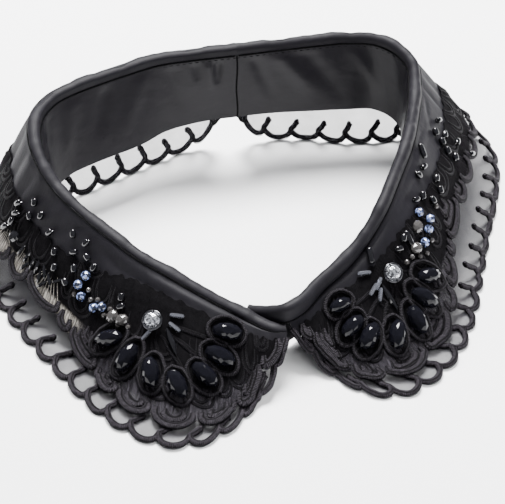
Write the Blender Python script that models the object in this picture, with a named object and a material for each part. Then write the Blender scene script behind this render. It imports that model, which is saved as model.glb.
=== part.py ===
"""A black beaded lace collar that stands by itself on a table.

Frame: metres, +Z up, z = 0 is the table. The wearer's front is toward -Y and the two halves part at
the centre back, toward +Y. Sizes below are in millimetres.

Each half is worked out from a short table of sections. A section runs from a point on the folded neck
edge, down the outside of the collar, to a point on the hem. The stand hangs inside the fold.
"""

import math
from collections import namedtuple

import bmesh
import bpy
import numpy as np
from mathutils import Matrix, Vector
from mathutils.bvhtree import BVHTree

MM = 0.001

# The middle of the whole footprint, in the plan that the tables below are measured on
PLAN_CENTRE = np.array([0.8, -19.8])

# Cloth walls
SATIN_WALL = 1.2
ORGANZA_WALL = 1.0
CORD_WALL = 1.7
LACE_WALL = 1.1
LACE_RIM_WALL = 1.8
BINDING_WALL = 1.1
SEAM_GAP = 0.3
HEM_GAP = 0.5
LACE_ROOM = 0.8

# Stand and binding, measured from the top of the fold
FOLD_RADIUS = 2.4
FOLD_STEP = 6.0
BINDING_DROP = 4.0
STAND_HEIGHT = 34.5
STAND_FOOT = 2.5

# Fall
SATIN_SHARE = 0.59
FALL_ROWS = (0.0, 0.2, 0.45, 0.72, 1.0)
SCALLOP_PITCH = 11.8
SCALLOP_DEPTH = 4.0
HEM_PHASES = (0.0, 0.16, 0.5, 0.84)
CORD_BAND = 2.0
LACE_PHASES = (0.0, 0.12, 0.34, 0.66, 0.88)
LACE_DEPTH = 5.0
LACE_DEPTH_SHARE = 0.28
LACE_RIM = 2.2
LACE_LEAST = 4.0
LACE_TOP_SHARE = 0.58

# Stones
CRYSTAL_SIZE = (12.0, 6.8, 4.2)
STONE_DIAMETER = 7.2
STONE_HEIGHT = 3.8
STONE_SEAT = 0.3
STONE_SIDES = 8
PROBE = 20.0

# fold: top of the folded neck edge. hem: tip of the scallops. rest: share of the run that lies flat on
# the table. bow: 1 is a straight slope, more is a hollow one. strip: depth of binding on the outside.
# lean: how far the stand's lower edge lies inside its upper one.
Section = namedtuple(
    "Section", "fold_x fold_y fold_z hem_x hem_y hem_z rest bow strip lean"
)

RIGHT_SECTIONS = (
    Section(3.2, 56.7, 58.5, 5.0, 64.0, 20.0, 0.00, 1.00, 3.0, 0.0),
    Section(5.5, 56.8, 58.5, 8.5, 66.0, 9.0, 0.00, 1.00, 3.0, 0.0),
    Section(10.0, 57.0, 58.5, 16.0, 66.5, 2.0, 0.00, 1.00, 3.0, 0.0),
    Section(20.0, 57.4, 58.5, 31.0, 65.0, 0.0, 0.00, 1.00, 3.0, 0.6),
    Section(36.0, 57.8, 58.5, 48.0, 59.4, 0.0, 0.00, 1.00, 3.0, 2.5),
    Section(50.0, 57.8, 58.3, 65.0, 56.6, 0.0, 0.00, 1.00, 3.0, 3.5),
    Section(62.0, 55.3, 57.5, 83.0, 58.5, 0.0, 0.00, 1.00, 3.0, 2.0),
    Section(69.5, 49.0, 56.0, 98.5, 61.0, 0.0, 0.00, 1.00, 3.2, 1.2),
    Section(73.4, 41.5, 53.5, 108.5, 54.0, 0.0, 0.00, 1.00, 3.6, 1.2),
    Section(72.3, 32.0, 50.3, 111.0, 38.0, 0.0, 0.00, 1.00, 4.0, 2.0),
    Section(67.5, 15.5, 48.8, 105.5, 12.0, 0.0, 0.04, 1.02, 4.2, 3.0),
    Section(60.3, -3.3, 48.0, 95.0, -14.0, 0.0, 0.06, 1.05, 4.2, 3.0),
    Section(51.5, -19.2, 44.5, 85.2, -39.0, 0.0, 0.08, 1.08, 4.2, 3.0),
    Section(42.8, -33.0, 40.0, 75.0, -63.0, 0.0, 0.14, 1.15, 4.4, 2.5),
    Section(35.2, -40.6, 34.5, 64.0, -80.5, 0.0, 0.22, 1.25, 4.8, 2.0),
    Section(29.0, -45.3, 30.6, 52.5, -91.0, 0.0, 0.26, 1.30, 5.0, 1.5),
    Section(23.0, -49.5, 28.4, 40.0, -96.5, 0.0, 0.26, 1.30, 5.2, 1.0),
    Section(17.5, -53.0, 27.0, 28.0, -94.0, 0.0, 0.24, 1.30, 5.4, 1.0),
    Section(13.0, -56.5, 26.0, 19.5, -86.2, 0.0, 0.16, 1.20, 5.8, 1.0),
    Section(9.0, -60.5, 25.4, 12.8, -78.5, 2.0, 0.00, 1.05, 6.2, 1.0),
    Section(5.0, -63.4, 24.8, 7.5, -74.0, 7.0, 0.00, 1.00, 6.4, 1.0),
    Section(1.6, -64.7, 24.2, 3.0, -71.5, 12.5, 0.00, 1.00, 6.4, 1.0),
)

LEFT_SECTIONS = (
    Section(2.8, 56.7, 58.5, -3.0, 64.0, 20.0, 0.00, 1.00, 1.6, 0.0),
    Section(0.0, 56.6, 58.5, -6.0, 66.0, 9.0, 0.00, 1.00, 1.6, 0.0),
    Section(-6.0, 56.5, 58.5, -13.0, 65.8, 2.0, 0.00, 1.00, 1.6, 0.0),
    Section(-16.0, 56.3, 58.4, -23.0, 62.4, 0.0, 0.00, 1.00, 1.6, 1.0),
    Section(-30.0, 55.3, 58.2, -37.0, 55.5, 0.0, 0.00, 1.00, 1.6, 4.0),
    Section(-42.0, 51.5, 58.0, -50.0, 49.6, 0.0, 0.00, 1.00, 1.6, 7.2),
    Section(-54.0, 47.0, 57.8, -61.5, 43.6, 0.0, 0.00, 1.00, 1.6, 7.8),
    Section(-64.5, 42.6, 57.5, -72.0, 40.5, 0.0, 0.00, 1.00, 1.6, 7.8),
    Section(-74.0, 37.0, 56.8, -88.5, 45.5, 0.0, 0.00, 0.96, 1.6, 7.0),
    Section(-80.4, 29.0, 55.0, -103.0, 39.5, 0.0, 0.00, 0.94, 1.6, 5.0),
    Section(-82.3, 17.5, 52.0, -109.0, 20.0, 0.0, 0.05, 0.96, 1.6, 4.0),
    Section(-80.4, 7.0, 48.0, -110.5, 0.0, 0.0, 0.12, 1.05, 1.6, 3.0),
    Section(-75.5, -2.5, 42.5, -104.0, -20.0, 0.0, 0.18, 1.15, 1.6, 2.5),
    Section(-67.7, -13.5, 38.8, -95.3, -41.5, 0.0, 0.22, 1.22, 1.6, 2.0),
    Section(-57.5, -26.0, 35.5, -85.2, -62.0, 0.0, 0.26, 1.28, 1.6, 2.0),
    Section(-48.5, -36.0, 32.5, -74.5, -82.5, 0.0, 0.28, 1.32, 1.6, 2.0),
    Section(-40.0, -43.0, 30.0, -62.5, -98.0, 0.0, 0.28, 1.35, 1.6, 1.5),
    Section(-31.0, -50.0, 27.0, -49.5, -107.0, 0.0, 0.28, 1.35, 1.6, 1.0),
    Section(-23.0, -55.5, 24.0, -37.5, -108.0, 0.0, 0.26, 1.32, 1.6, 1.0),
    Section(-16.0, -60.0, 21.5, -27.0, -103.3, 0.0, 0.24, 1.25, 1.6, 1.0),
    Section(-10.5, -63.8, 19.8, -17.5, -95.0, 0.0, 0.14, 1.15, 1.6, 1.0),
    Section(-6.5, -67.0, 19.0, -9.5, -87.0, 3.0, 0.00, 1.05, 1.6, 1.0),
    Section(-3.0, -68.8, 18.5, -4.0, -79.5, 8.0, 0.00, 1.00, 1.6, 1.0),
    Section(0.3, -69.2, 18.0, -0.4, -75.0, 12.5, 0.00, 1.00, 1.6, 1.0),
)

# From the last section, the right half's stand goes on behind the left's
LapPoint = namedtuple("LapPoint", "fold_x fold_y fold_z")
RIGHT_LAP = (
    LapPoint(-3.4, -62.5, 22.2),
    LapPoint(-7.4, -59.5, 20.0),
    LapPoint(-11.6, -56.5, 19.0),
)

# along: share of the hem from centre back to centre front. top: the lace's upper edge, from the seam.
# edge: from the tips of its scallops to the tips of the hem's.
LaceRow = namedtuple("LaceRow", "along top edge")
LACE_ROWS = {
    "right": (
        LaceRow(0.27, 35.0, 17.0),
        LaceRow(0.31, 22.0, 14.5),
        LaceRow(0.37, 17.0, 17.0),
        LaceRow(0.46, 16.0, 20.0),
        LaceRow(0.55, 15.0, 20.8),
        LaceRow(0.63, 12.0, 20.0),
        LaceRow(0.69, 9.0, 12.5),
        LaceRow(0.74, 7.5, 9.0),
        LaceRow(0.80, 6.0, 7.0),
        LaceRow(0.86, 5.0, 8.0),
        LaceRow(0.93, 4.0, 7.2),
        LaceRow(0.985, 2.5, 6.0),
    ),
    "left": (
        LaceRow(0.27, 35.0, 17.0),
        LaceRow(0.31, 22.0, 14.5),
        LaceRow(0.40, 17.0, 15.0),
        LaceRow(0.52, 16.0, 15.0),
        LaceRow(0.61, 14.0, 17.0),
        LaceRow(0.65, 12.0, 14.5),
        LaceRow(0.70, 8.0, 10.5),
        LaceRow(0.80, 6.0, 8.0),
        LaceRow(0.88, 5.0, 6.2),
        LaceRow(0.93, 4.0, 6.0),
        LaceRow(0.985, 2.5, 6.0),
    ),
}
# Shares of the hem at the notches between the lace's scallops, which are of uneven width
LACE_NOTCHES = {
    "right": (
        0.270, 0.315, 0.367, 0.412, 0.463, 0.517, 0.558, 0.628, 0.650,
        0.690, 0.721, 0.788, 0.856, 0.897, 0.963, 0.985,
    ),
    "left": (
        0.270, 0.312, 0.360, 0.405, 0.441, 0.490, 0.536, 0.608, 0.635,
        0.696, 0.736, 0.786, 0.838, 0.887, 0.938, 0.985,
    ),
}

# Each fan on the plan: its clear stone, and its crystals at an angle from straight forward, a distance and
# a share of the full size
FAN_CENTRES = {"left": (-46.7, -57.2), "right": (43.2, -49.7)}
Crystal = namedtuple("Crystal", "angle distance size")
CRYSTALS = {
    "left": (
        Crystal(-95.0, 15.8, 0.95),
        Crystal(-50.0, 13.6, 1.0),
        Crystal(-10.0, 17.3, 1.0),
        Crystal(12.0, 24.6, 1.0),
        Crystal(33.0, 27.1, 1.0),
        Crystal(51.0, 27.3, 1.0),
        Crystal(69.5, 27.1, 0.95),
    ),
    "right": (
        Crystal(-65.0, 24.0, 0.75),
        Crystal(-47.0, 25.2, 0.9),
        Crystal(-31.0, 25.0, 1.0),
        Crystal(-7.0, 20.5, 1.0),
        Crystal(25.0, 15.8, 1.0),
        Crystal(59.0, 12.5, 1.0),
        Crystal(96.0, 14.2, 0.9),
    ),
}


def spline(knots, rows, places):
    """A smooth curve through the rows at the knots, read at each of the places."""
    knots = np.asarray(knots, float)
    rows = np.asarray(rows, float)
    step = np.diff(knots)
    chord = np.diff(rows, axis=0) / step[:, None]
    slope = np.empty_like(rows)
    slope[0], slope[-1] = chord[0], chord[-1]
    weight = (step[1:] / (step[1:] + step[:-1]))[:, None]
    slope[1:-1] = weight * chord[:-1] + (1 - weight) * chord[1:]
    places = np.clip(np.asarray(places, float), knots[0], knots[-1])
    i = np.clip(np.searchsorted(knots, places, side="right") - 1, 0, len(step) - 1)
    h = step[i][:, None]
    t = ((places - knots[i]) / step[i])[:, None]
    return (
        rows[i] * (2 * t**3 - 3 * t**2 + 1)
        + rows[i + 1] * (3 * t**2 - 2 * t**3)
        + slope[i] * h * (t**3 - 2 * t**2 + t)
        + slope[i + 1] * h * (t**3 - t**2)
    )


def lengths(points):
    """Distance along a line of points, from its start to each."""
    return np.r_[0.0, np.cumsum(np.linalg.norm(np.diff(points, axis=0), axis=1))]


def unit(vectors):
    return vectors / np.linalg.norm(vectors, axis=-1, keepdims=True)


class Half:
    """One half of the collar: its folded edge and the surface of its fall."""

    STEPS = 48
    GRID = 240

    def __init__(self, side, sections, lap=()):
        self.side = side
        self.sign = 1.0 if side == "right" else -1.0
        self.rows = np.array(sections, float)
        self.rows[:, 0:2] -= PLAN_CENTRE
        self.rows[:, 3:5] -= PLAN_CENTRE
        self.knots = lengths(self.rows[:, 3:6])
        self.hem_length = self.knots[-1]
        fold = self.rows[:, [0, 1, 2, 8, 9]]
        for point in lap:
            fold = np.vstack([fold, [*(np.array(point[:2]) - PLAN_CENTRE), point.fold_z, *fold[-1, 3:]]])
        self.fold_rows = fold
        self.fold_knots = lengths(fold[:, :3])
        self.fold_length = self.fold_knots[-1]
        places = np.linspace(0.0, self.hem_length, self.GRID + 1)
        self.net = np.stack([self.run(along)[0] for along in places])

    def fold_at(self, places):
        """Top of the fold, its outward direction, the strip's depth and the stand's lean."""
        row = spline(self.fold_knots, self.fold_rows, places)
        ahead = spline(self.fold_knots, self.fold_rows, np.asarray(places) + 0.5)
        behind = spline(self.fold_knots, self.fold_rows, np.asarray(places) - 0.5)
        tangent = (ahead - behind)[:, :2]
        outward = unit(np.c_[-tangent[:, 1], tangent[:, 0], np.zeros(len(tangent))])
        return row[:, :3], outward * self.sign, row[:, 3], row[:, 4]

    def fold_place(self, along):
        """Where on the fold the section at a place along the hem starts."""
        marks = self.fold_knots[: len(self.knots), None]
        return spline(self.knots, marks, along)[:, 0]

    def run(self, along):
        """Points down the fall at one place along the hem, and their distance from the seam."""
        place = self.fold_place([along])
        fold, outward, strip, _ = (value[0] for value in self.fold_at(place))
        row = spline(self.knots, self.rows, [along])[0]
        hem, rest, bow = row[3:6], max(row[6], 0.0), max(row[7], 0.5)
        hem_z = max(hem[2], 0.0)
        inner = FOLD_RADIUS - BINDING_WALL
        start = fold + outward * inner
        start[2] -= strip + SEAM_GAP
        share = np.linspace(0.0, 1.0, self.STEPS + 1)
        slope = np.clip(1.0 - share / (1.0 - rest), 0.0, 1.0) ** bow
        points = np.empty((len(share), 3))
        points[:, :2] = start[:2] + (hem[:2] - start[:2]) * share[:, None]
        points[:, 2] = hem_z + (start[2] - hem_z) * slope
        return points, lengths(points), outward

    def length(self, along):
        return self.run(along)[1][-1]

    def at(self, along, downs):
        """Points of the inner face at distances down from the seam."""
        points, marks, _ = self.run(along)
        return np.stack([np.interp(downs, marks, points[:, k]) for k in range(3)], axis=1)

    def frame(self, along, downs):
        """Points of the inner face and their outward directions."""
        downs = np.asarray(downs, float)
        here = self.at(along, downs)
        half_step = 0.6
        low = max(along - half_step, 0.0)
        high = min(along + half_step, self.hem_length)
        shares = downs / self.length(along)
        across = self.at(high, shares * self.length(high)) - self.at(low, shares * self.length(low))
        reach = self.length(along)
        below = self.at(along, np.minimum(downs + half_step, reach))
        above = self.at(along, np.maximum(downs - half_step, 0.0))
        return here, unit(np.cross(across, below - above) * self.sign)

    def point(self, x, y):
        """The place on the fall's inner face over a point of the plan, and the outward direction there."""
        gaps = np.hypot(self.net[:, :, 0] - x, self.net[:, :, 1] - y)
        i, k = np.unravel_index(np.argmin(gaps), gaps.shape)
        along = self.hem_length * i / self.GRID
        here, normal = self.frame(along, [self.run(along)[1][k]])
        return here[0], normal[0]


HALVES = {
    "right": Half("right", RIGHT_SECTIONS, RIGHT_LAP),
    "left": Half("left", LEFT_SECTIONS),
}


def material(name, color, roughness, metallic=0.0):
    made = bpy.data.materials.new(name)
    made.use_nodes = True
    shader = made.node_tree.nodes["Principled BSDF"]
    shader.inputs["Base Color"].default_value = (*color, 1.0)
    shader.inputs["Roughness"].default_value = roughness
    shader.inputs["Metallic"].default_value = metallic
    return made


def add_object(name, bm, finish, smooth_angle=40.0):
    mesh = bpy.data.meshes.new(name)
    bm.to_mesh(mesh)
    bm.free()
    mesh.shade_smooth()
    mesh.set_sharp_from_angle(angle=math.radians(smooth_angle))
    mesh.materials.append(finish)
    made = bpy.data.objects.new(name, mesh)
    bpy.context.scene.collection.objects.link(made)
    return made


def wall(name, inner, outer, finish):
    """A closed wall between two grids of points, stations by rows, in millimetres."""
    inner, outer = np.asarray(inner), np.asarray(outer)
    stations, rows = inner.shape[:2]
    bm = bmesh.new()
    low = [[bm.verts.new(Vector(p) * MM) for p in line] for line in inner]
    high = [[bm.verts.new(Vector(p) * MM) for p in line] for line in outer]
    for i in range(stations - 1):
        for k in range(rows - 1):
            bm.faces.new((high[i][k], high[i + 1][k], high[i + 1][k + 1], high[i][k + 1]))
            bm.faces.new((low[i][k + 1], low[i + 1][k + 1], low[i + 1][k], low[i][k]))
        for k, flip in ((0, False), (rows - 1, True)):
            edge = (low[i][k], low[i + 1][k], high[i + 1][k], high[i][k])
            bm.faces.new(edge[::-1] if flip else edge)
    for k in range(rows - 1):
        for i, flip in ((0, True), (stations - 1, False)):
            edge = (low[i][k], low[i][k + 1], high[i][k + 1], high[i][k])
            bm.faces.new(edge[::-1] if flip else edge)
    if bm.calc_volume(signed=True) < 0:
        bmesh.ops.reverse_faces(bm, faces=bm.faces)
    return add_object(name, bm, finish)


def scallop_inset(phase, depth):
    """How far a scalloped edge falls back from its tips, for a phase of 0 at one notch and 1 at the next."""
    return depth * (1.0 - math.sqrt(max(0.0, 1.0 - (2.0 * phase - 1.0) ** 2)))


def scallop_stations(length, pitch, phases):
    """Places along an edge with a whole number of scallops, and each place's phase."""
    count = max(1, round(length / pitch))
    places = [((n + phase) / count, phase) for n in range(count) for phase in phases]
    return places + [(1.0, 1.0)]


def cloth_panel(name, half, stations, wall_of, finish):
    """A panel of the fall: stations are places along the hem, each with its rows down from the seam."""
    inner, outer = [], []
    for along, downs in stations:
        here, normal = half.frame(along, downs)
        if downs[0] == 0.0:
            normal[0] = half.run(along)[2]
        low, high = wall_of(along, np.asarray(downs))
        top = here + normal * np.asarray(high)[:, None]
        top[:, 2] = np.maximum(top[:, 2], 0.0)
        inner.append(here + normal * np.asarray(low)[:, None])
        outer.append(top)
    return wall(name, inner, outer, finish)


def make_fall(half, finish):
    stations = []
    for share, _ in scallop_stations(half.hem_length, SCALLOP_PITCH, HEM_PHASES):
        along = share * half.hem_length
        stations.append((along, np.array(FALL_ROWS) * SATIN_SHARE * half.length(along)))

    def walls(along, downs):
        return np.zeros(len(downs)), np.full(len(downs), SATIN_WALL)

    return cloth_panel(f"fall_satin_{half.side}", half, stations, walls, finish)


def make_hem(half, finish):
    """The organza, with its scalloped edge raised by the embroidered cord."""
    stations = []
    for share, phase in scallop_stations(half.hem_length, SCALLOP_PITCH, HEM_PHASES):
        along = share * half.hem_length
        reach = half.length(along)
        inset = scallop_inset(phase, min(SCALLOP_DEPTH, 0.3 * reach))
        top = SATIN_SHARE * reach + HEM_GAP
        edge = reach - inset
        cord = edge - min(CORD_BAND, 0.3 * (edge - top))
        knee = top + 0.35 * (cord - top)
        stations.append((along, np.array([top, knee, 0.5 * (knee + cord), cord, edge])))
    high = np.array([ORGANZA_WALL, ORGANZA_WALL, ORGANZA_WALL, CORD_WALL, CORD_WALL])

    def walls(along, downs):
        return np.zeros(len(downs)), high

    return cloth_panel(f"organza_hem_{half.side}", half, stations, walls, finish)


def lace_scallops(half):
    """Places along the lace's scallops, with how far its edge falls back at each."""
    notches = np.array(LACE_NOTCHES[half.side])
    widths = np.diff(notches) * half.hem_length
    narrower = np.minimum(np.r_[widths[0], widths], np.r_[widths, widths[-1]])
    depths = np.minimum(LACE_DEPTH_SHARE * narrower, LACE_DEPTH)
    for n in range(len(widths)):
        for phase in LACE_PHASES:
            depth = depths[n] + phase * (depths[n + 1] - depths[n])
            yield notches[n] + phase * (notches[n + 1] - notches[n]), scallop_inset(phase, depth)
    yield notches[-1], depths[-1]


def make_lace(half, finish):
    """The embroidered applique, moved out from the fall's own points, with a raised rim."""
    rows = np.array(LACE_ROWS[half.side])
    stations = []
    for place, inset in lace_scallops(half):
        along = place * half.hem_length
        top, edge = spline(rows[:, 0], rows[:, 1:], [place])[0]
        reach = half.length(along)
        top = min(top, LACE_TOP_SHARE * reach)
        low = reach - edge - inset
        low = max(low, top + LACE_LEAST)
        rim = low - min(LACE_RIM, 0.3 * (low - top))
        flat = rim - min(0.6, 0.1 * (low - top))
        stations.append((along, np.array([top, 0.5 * (top + flat), flat, rim, low])))
    lift = SATIN_WALL + LACE_ROOM
    thick = np.array([LACE_WALL, LACE_WALL, LACE_WALL, LACE_RIM_WALL, LACE_RIM_WALL])

    def walls(along, downs):
        return np.full(len(downs), lift), lift + thick

    return cloth_panel(f"lace_applique_{half.side}", half, stations, walls, finish)


def fold_stations(half):
    return np.linspace(0.0, half.fold_length, round(half.fold_length / FOLD_STEP) + 1)


def make_binding(half, finish):
    """The strip folded over the neck edge: down 4 mm inside and by the strip's depth outside."""
    fold, outward, strip, _ = half.fold_at(fold_stations(half))
    big, small = FOLD_RADIUS, FOLD_RADIUS - BINDING_WALL
    angles = np.radians([180.0, 135.0, 90.0, 45.0, 0.0])
    inner, outer = [], []
    for top, out, depth in zip(fold, outward, strip):
        across = np.r_[-1.0, np.cos(angles), 1.0]
        arc = np.sin(angles)
        depth = max(depth, 0.4)
        drop = min(depth, big)
        lines = []
        for radius in (small, big):
            height = np.r_[-BINDING_DROP, (arc - 1.0) * drop, -depth]
            height[1:-1] -= (big - radius) * arc
            if depth <= big:
                height[-1] = -depth - 0.15
            lines.append(top + out * (across * radius)[:, None] + np.c_[height * 0, height * 0, height])
        inner.append(lines[0])
        outer.append(lines[1])
    return wall(f"neck_binding_{half.side}", inner, outer, finish)


def make_lining(half, finish):
    """The stand inside the fold, which narrows toward the front as the fold comes down to the table."""
    fold, outward, _, lean = half.fold_at(fold_stations(half))
    shares = np.array([0.0, 0.5, 1.0])
    inner, outer = [], []
    for top, out, inward in zip(fold, outward, lean):
        start = BINDING_DROP + SEAM_GAP
        foot = min(STAND_HEIGHT, top[2] - STAND_FOOT)
        depth = start + shares * (foot - start)
        lines = []
        for radius in (FOLD_RADIUS - BINDING_WALL, FOLD_RADIUS):
            line = top - out * (radius + inward * shares)[:, None]
            line[:, 2] -= depth
            lines.append(line)
        inner.append(lines[0])
        outer.append(lines[1])
    return wall(f"stand_lining_{half.side}", inner, outer, finish)


# Outline of a stone at three levels: its share of the full size, its share of the height, its turn
StoneRing = namedtuple("StoneRing", "scale level turn")
STONE_RINGS = (
    StoneRing(0.62, 0.0, 0.0),
    StoneRing(1.0, 0.36, 0.5),
    StoneRing(0.52, 1.0, 0.0),
)


def faceted_stone(name, length, width, height, finish):
    """A stone with a flat base, a girdle and a flat table, lying along its own X."""
    bm = bmesh.new()
    loops = []
    for ring in STONE_RINGS:
        loop = []
        for k in range(STONE_SIDES):
            angle = 2.0 * math.pi * (k + ring.turn) / STONE_SIDES
            x = 0.5 * length * ring.scale * math.cos(angle)
            y = 0.5 * width * ring.scale * math.sin(angle)
            loop.append(bm.verts.new(Vector((x, y, ring.level * height)) * MM))
        loops.append(loop)
    bm.faces.new(loops[0][::-1])
    bm.faces.new(loops[2])
    base, girdle, table = loops
    for k in range(STONE_SIDES):
        after = (k + 1) % STONE_SIDES
        bm.faces.new((base[k], base[after], girdle[k]))
        bm.faces.new((base[after], girdle[after], girdle[k]))
        bm.faces.new((girdle[k], table[after], table[k]))
        bm.faces.new((girdle[k], girdle[after], table[after]))
    return add_object(name, bm, finish, smooth_angle=1.0)


def place_stone(stone, half, lace, x, y, toward):
    """Seats a stone on the lace over a point of the plan, its length toward a direction of the plan."""
    here, normal = half.point(x, y)
    up = Vector(normal)
    ahead = Vector((*toward, 0.0))
    ahead = (ahead - up * ahead.dot(up)).normalized()
    turn = Matrix((ahead, up.cross(ahead), up)).transposed().to_4x4()
    start = Vector(here) * MM
    lift = 0.0
    for vert in stone.data.vertices:
        corner = start + turn @ vert.co
        hit = lace.ray_cast(corner + up * PROBE * MM, -up)[0]
        if hit:
            lift = max(lift, (hit - corner).dot(up))
    stone.matrix_world = Matrix.Translation(start + up * (lift + STONE_SEAT * MM)) @ turn


def make_fan(half, applique, crystal_finish, clear_finish):
    points = [vert.co for vert in applique.data.vertices]
    lace = BVHTree.FromPolygons(points, [face.vertices for face in applique.data.polygons])
    centre_x, centre_y = np.array(FAN_CENTRES[half.side]) - PLAN_CENTRE
    stone = faceted_stone(
        f"clear_stone_{half.side}", STONE_DIAMETER, STONE_DIAMETER, STONE_HEIGHT, clear_finish
    )
    place_stone(stone, half, lace, centre_x, centre_y, (0.0, -1.0))
    for n, row in enumerate(CRYSTALS[half.side], start=1):
        angle = math.radians(row.angle)
        toward = (math.sin(angle), -math.cos(angle))
        length, width, height = (row.size * full for full in CRYSTAL_SIZE)
        crystal = faceted_stone(f"crystal_{half.side}_{n}", length, width, height, crystal_finish)
        x, y = centre_x + row.distance * toward[0], centre_y + row.distance * toward[1]
        place_stone(crystal, half, lace, x, y, toward)


def main():
    for old in list(bpy.data.objects):
        bpy.data.objects.remove(old)
    satin = material("black_satin", (0.012, 0.010, 0.014), 0.5)
    lining = material("black_lining", (0.014, 0.012, 0.014), 0.38)
    organza = material("black_organza", (0.04, 0.037, 0.045), 0.6)
    lace = material("black_lace", (0.022, 0.019, 0.024), 0.75)
    crystal = material("black_crystal", (0.01, 0.01, 0.013), 0.05)
    clear = material("clear_stone", (0.85, 0.88, 0.92), 0.05)
    for half in HALVES.values():
        make_lining(half, lining)
        make_binding(half, satin)
        make_fall(half, satin)
        make_hem(half, organza)
        applique = make_lace(half, lace)
        make_fan(half, applique, crystal, clear)


main()
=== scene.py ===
"""The looks of a black beaded lace collar: fine cloth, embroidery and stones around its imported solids.

Laid out as an add-on and run as a script. Sizes in the tables are millimetres in the frame of the
solids: +Z up, z = 0 the table, -Y the wearer's front. Each half is worked out from the same table of
sections as its solids, so a place on it is a share along the hem and a distance down from the seam.
"""

import math
from collections import namedtuple
from random import Random

import bmesh
import bpy
import numpy as np
from bpy.props import FloatProperty, FloatVectorProperty, PointerProperty
from bpy.types import Operator, Panel, PropertyGroup
from mathutils import Matrix, Vector


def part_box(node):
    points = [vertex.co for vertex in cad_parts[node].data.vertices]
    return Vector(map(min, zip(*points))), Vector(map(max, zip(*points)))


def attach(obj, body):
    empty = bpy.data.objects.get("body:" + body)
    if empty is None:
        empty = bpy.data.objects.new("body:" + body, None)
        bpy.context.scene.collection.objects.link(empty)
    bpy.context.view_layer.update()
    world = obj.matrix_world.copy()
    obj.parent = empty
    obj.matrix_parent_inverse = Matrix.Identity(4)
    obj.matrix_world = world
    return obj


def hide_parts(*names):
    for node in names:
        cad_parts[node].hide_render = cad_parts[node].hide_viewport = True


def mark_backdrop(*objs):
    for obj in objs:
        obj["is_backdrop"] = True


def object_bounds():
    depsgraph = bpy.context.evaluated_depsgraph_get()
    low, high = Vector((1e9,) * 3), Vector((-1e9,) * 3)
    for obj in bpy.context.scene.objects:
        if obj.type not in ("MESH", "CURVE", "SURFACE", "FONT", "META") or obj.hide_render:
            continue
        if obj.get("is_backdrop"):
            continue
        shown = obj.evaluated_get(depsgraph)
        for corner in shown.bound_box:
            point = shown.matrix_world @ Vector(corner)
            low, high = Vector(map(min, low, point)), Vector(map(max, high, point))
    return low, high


bl_info = {
    "name": "Beaded lace collar",
    "version": (1, 0, 0),
    "blender": (4, 5, 0),
    "location": "3D View > Sidebar > Collar",
    "description": "Dresses the collar's solids in satin, organza, lace, beads and crystals",
    "category": "Object",
}

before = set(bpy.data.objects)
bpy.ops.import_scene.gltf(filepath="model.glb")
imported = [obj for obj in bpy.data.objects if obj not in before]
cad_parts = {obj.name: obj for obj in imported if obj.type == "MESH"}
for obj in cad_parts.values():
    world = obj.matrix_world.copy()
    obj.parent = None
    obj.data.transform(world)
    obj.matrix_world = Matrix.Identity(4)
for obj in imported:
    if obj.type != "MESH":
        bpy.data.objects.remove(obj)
CAD_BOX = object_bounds()
BODY = "root"
MM = 0.001
SIDES = ("left", "right")

# The middle of the footprint, in the plan that the tables are measured on
PLAN_CENTRE = np.array([0.8, -19.8])

# Sizes of the solids
FOLD_RADIUS = 2.4
BINDING_WALL = 1.1
BINDING_DROP = 4.0
SATIN_WALL = 1.2
SEAM_GAP = 0.3
STAND_HEIGHT = 34.5
STAND_FOOT = 2.5
SATIN_SHARE = 0.59
SCALLOP_PITCH = 11.8
LACE_DEPTH = 5.0
LACE_DEPTH_SHARE = 0.28

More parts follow.
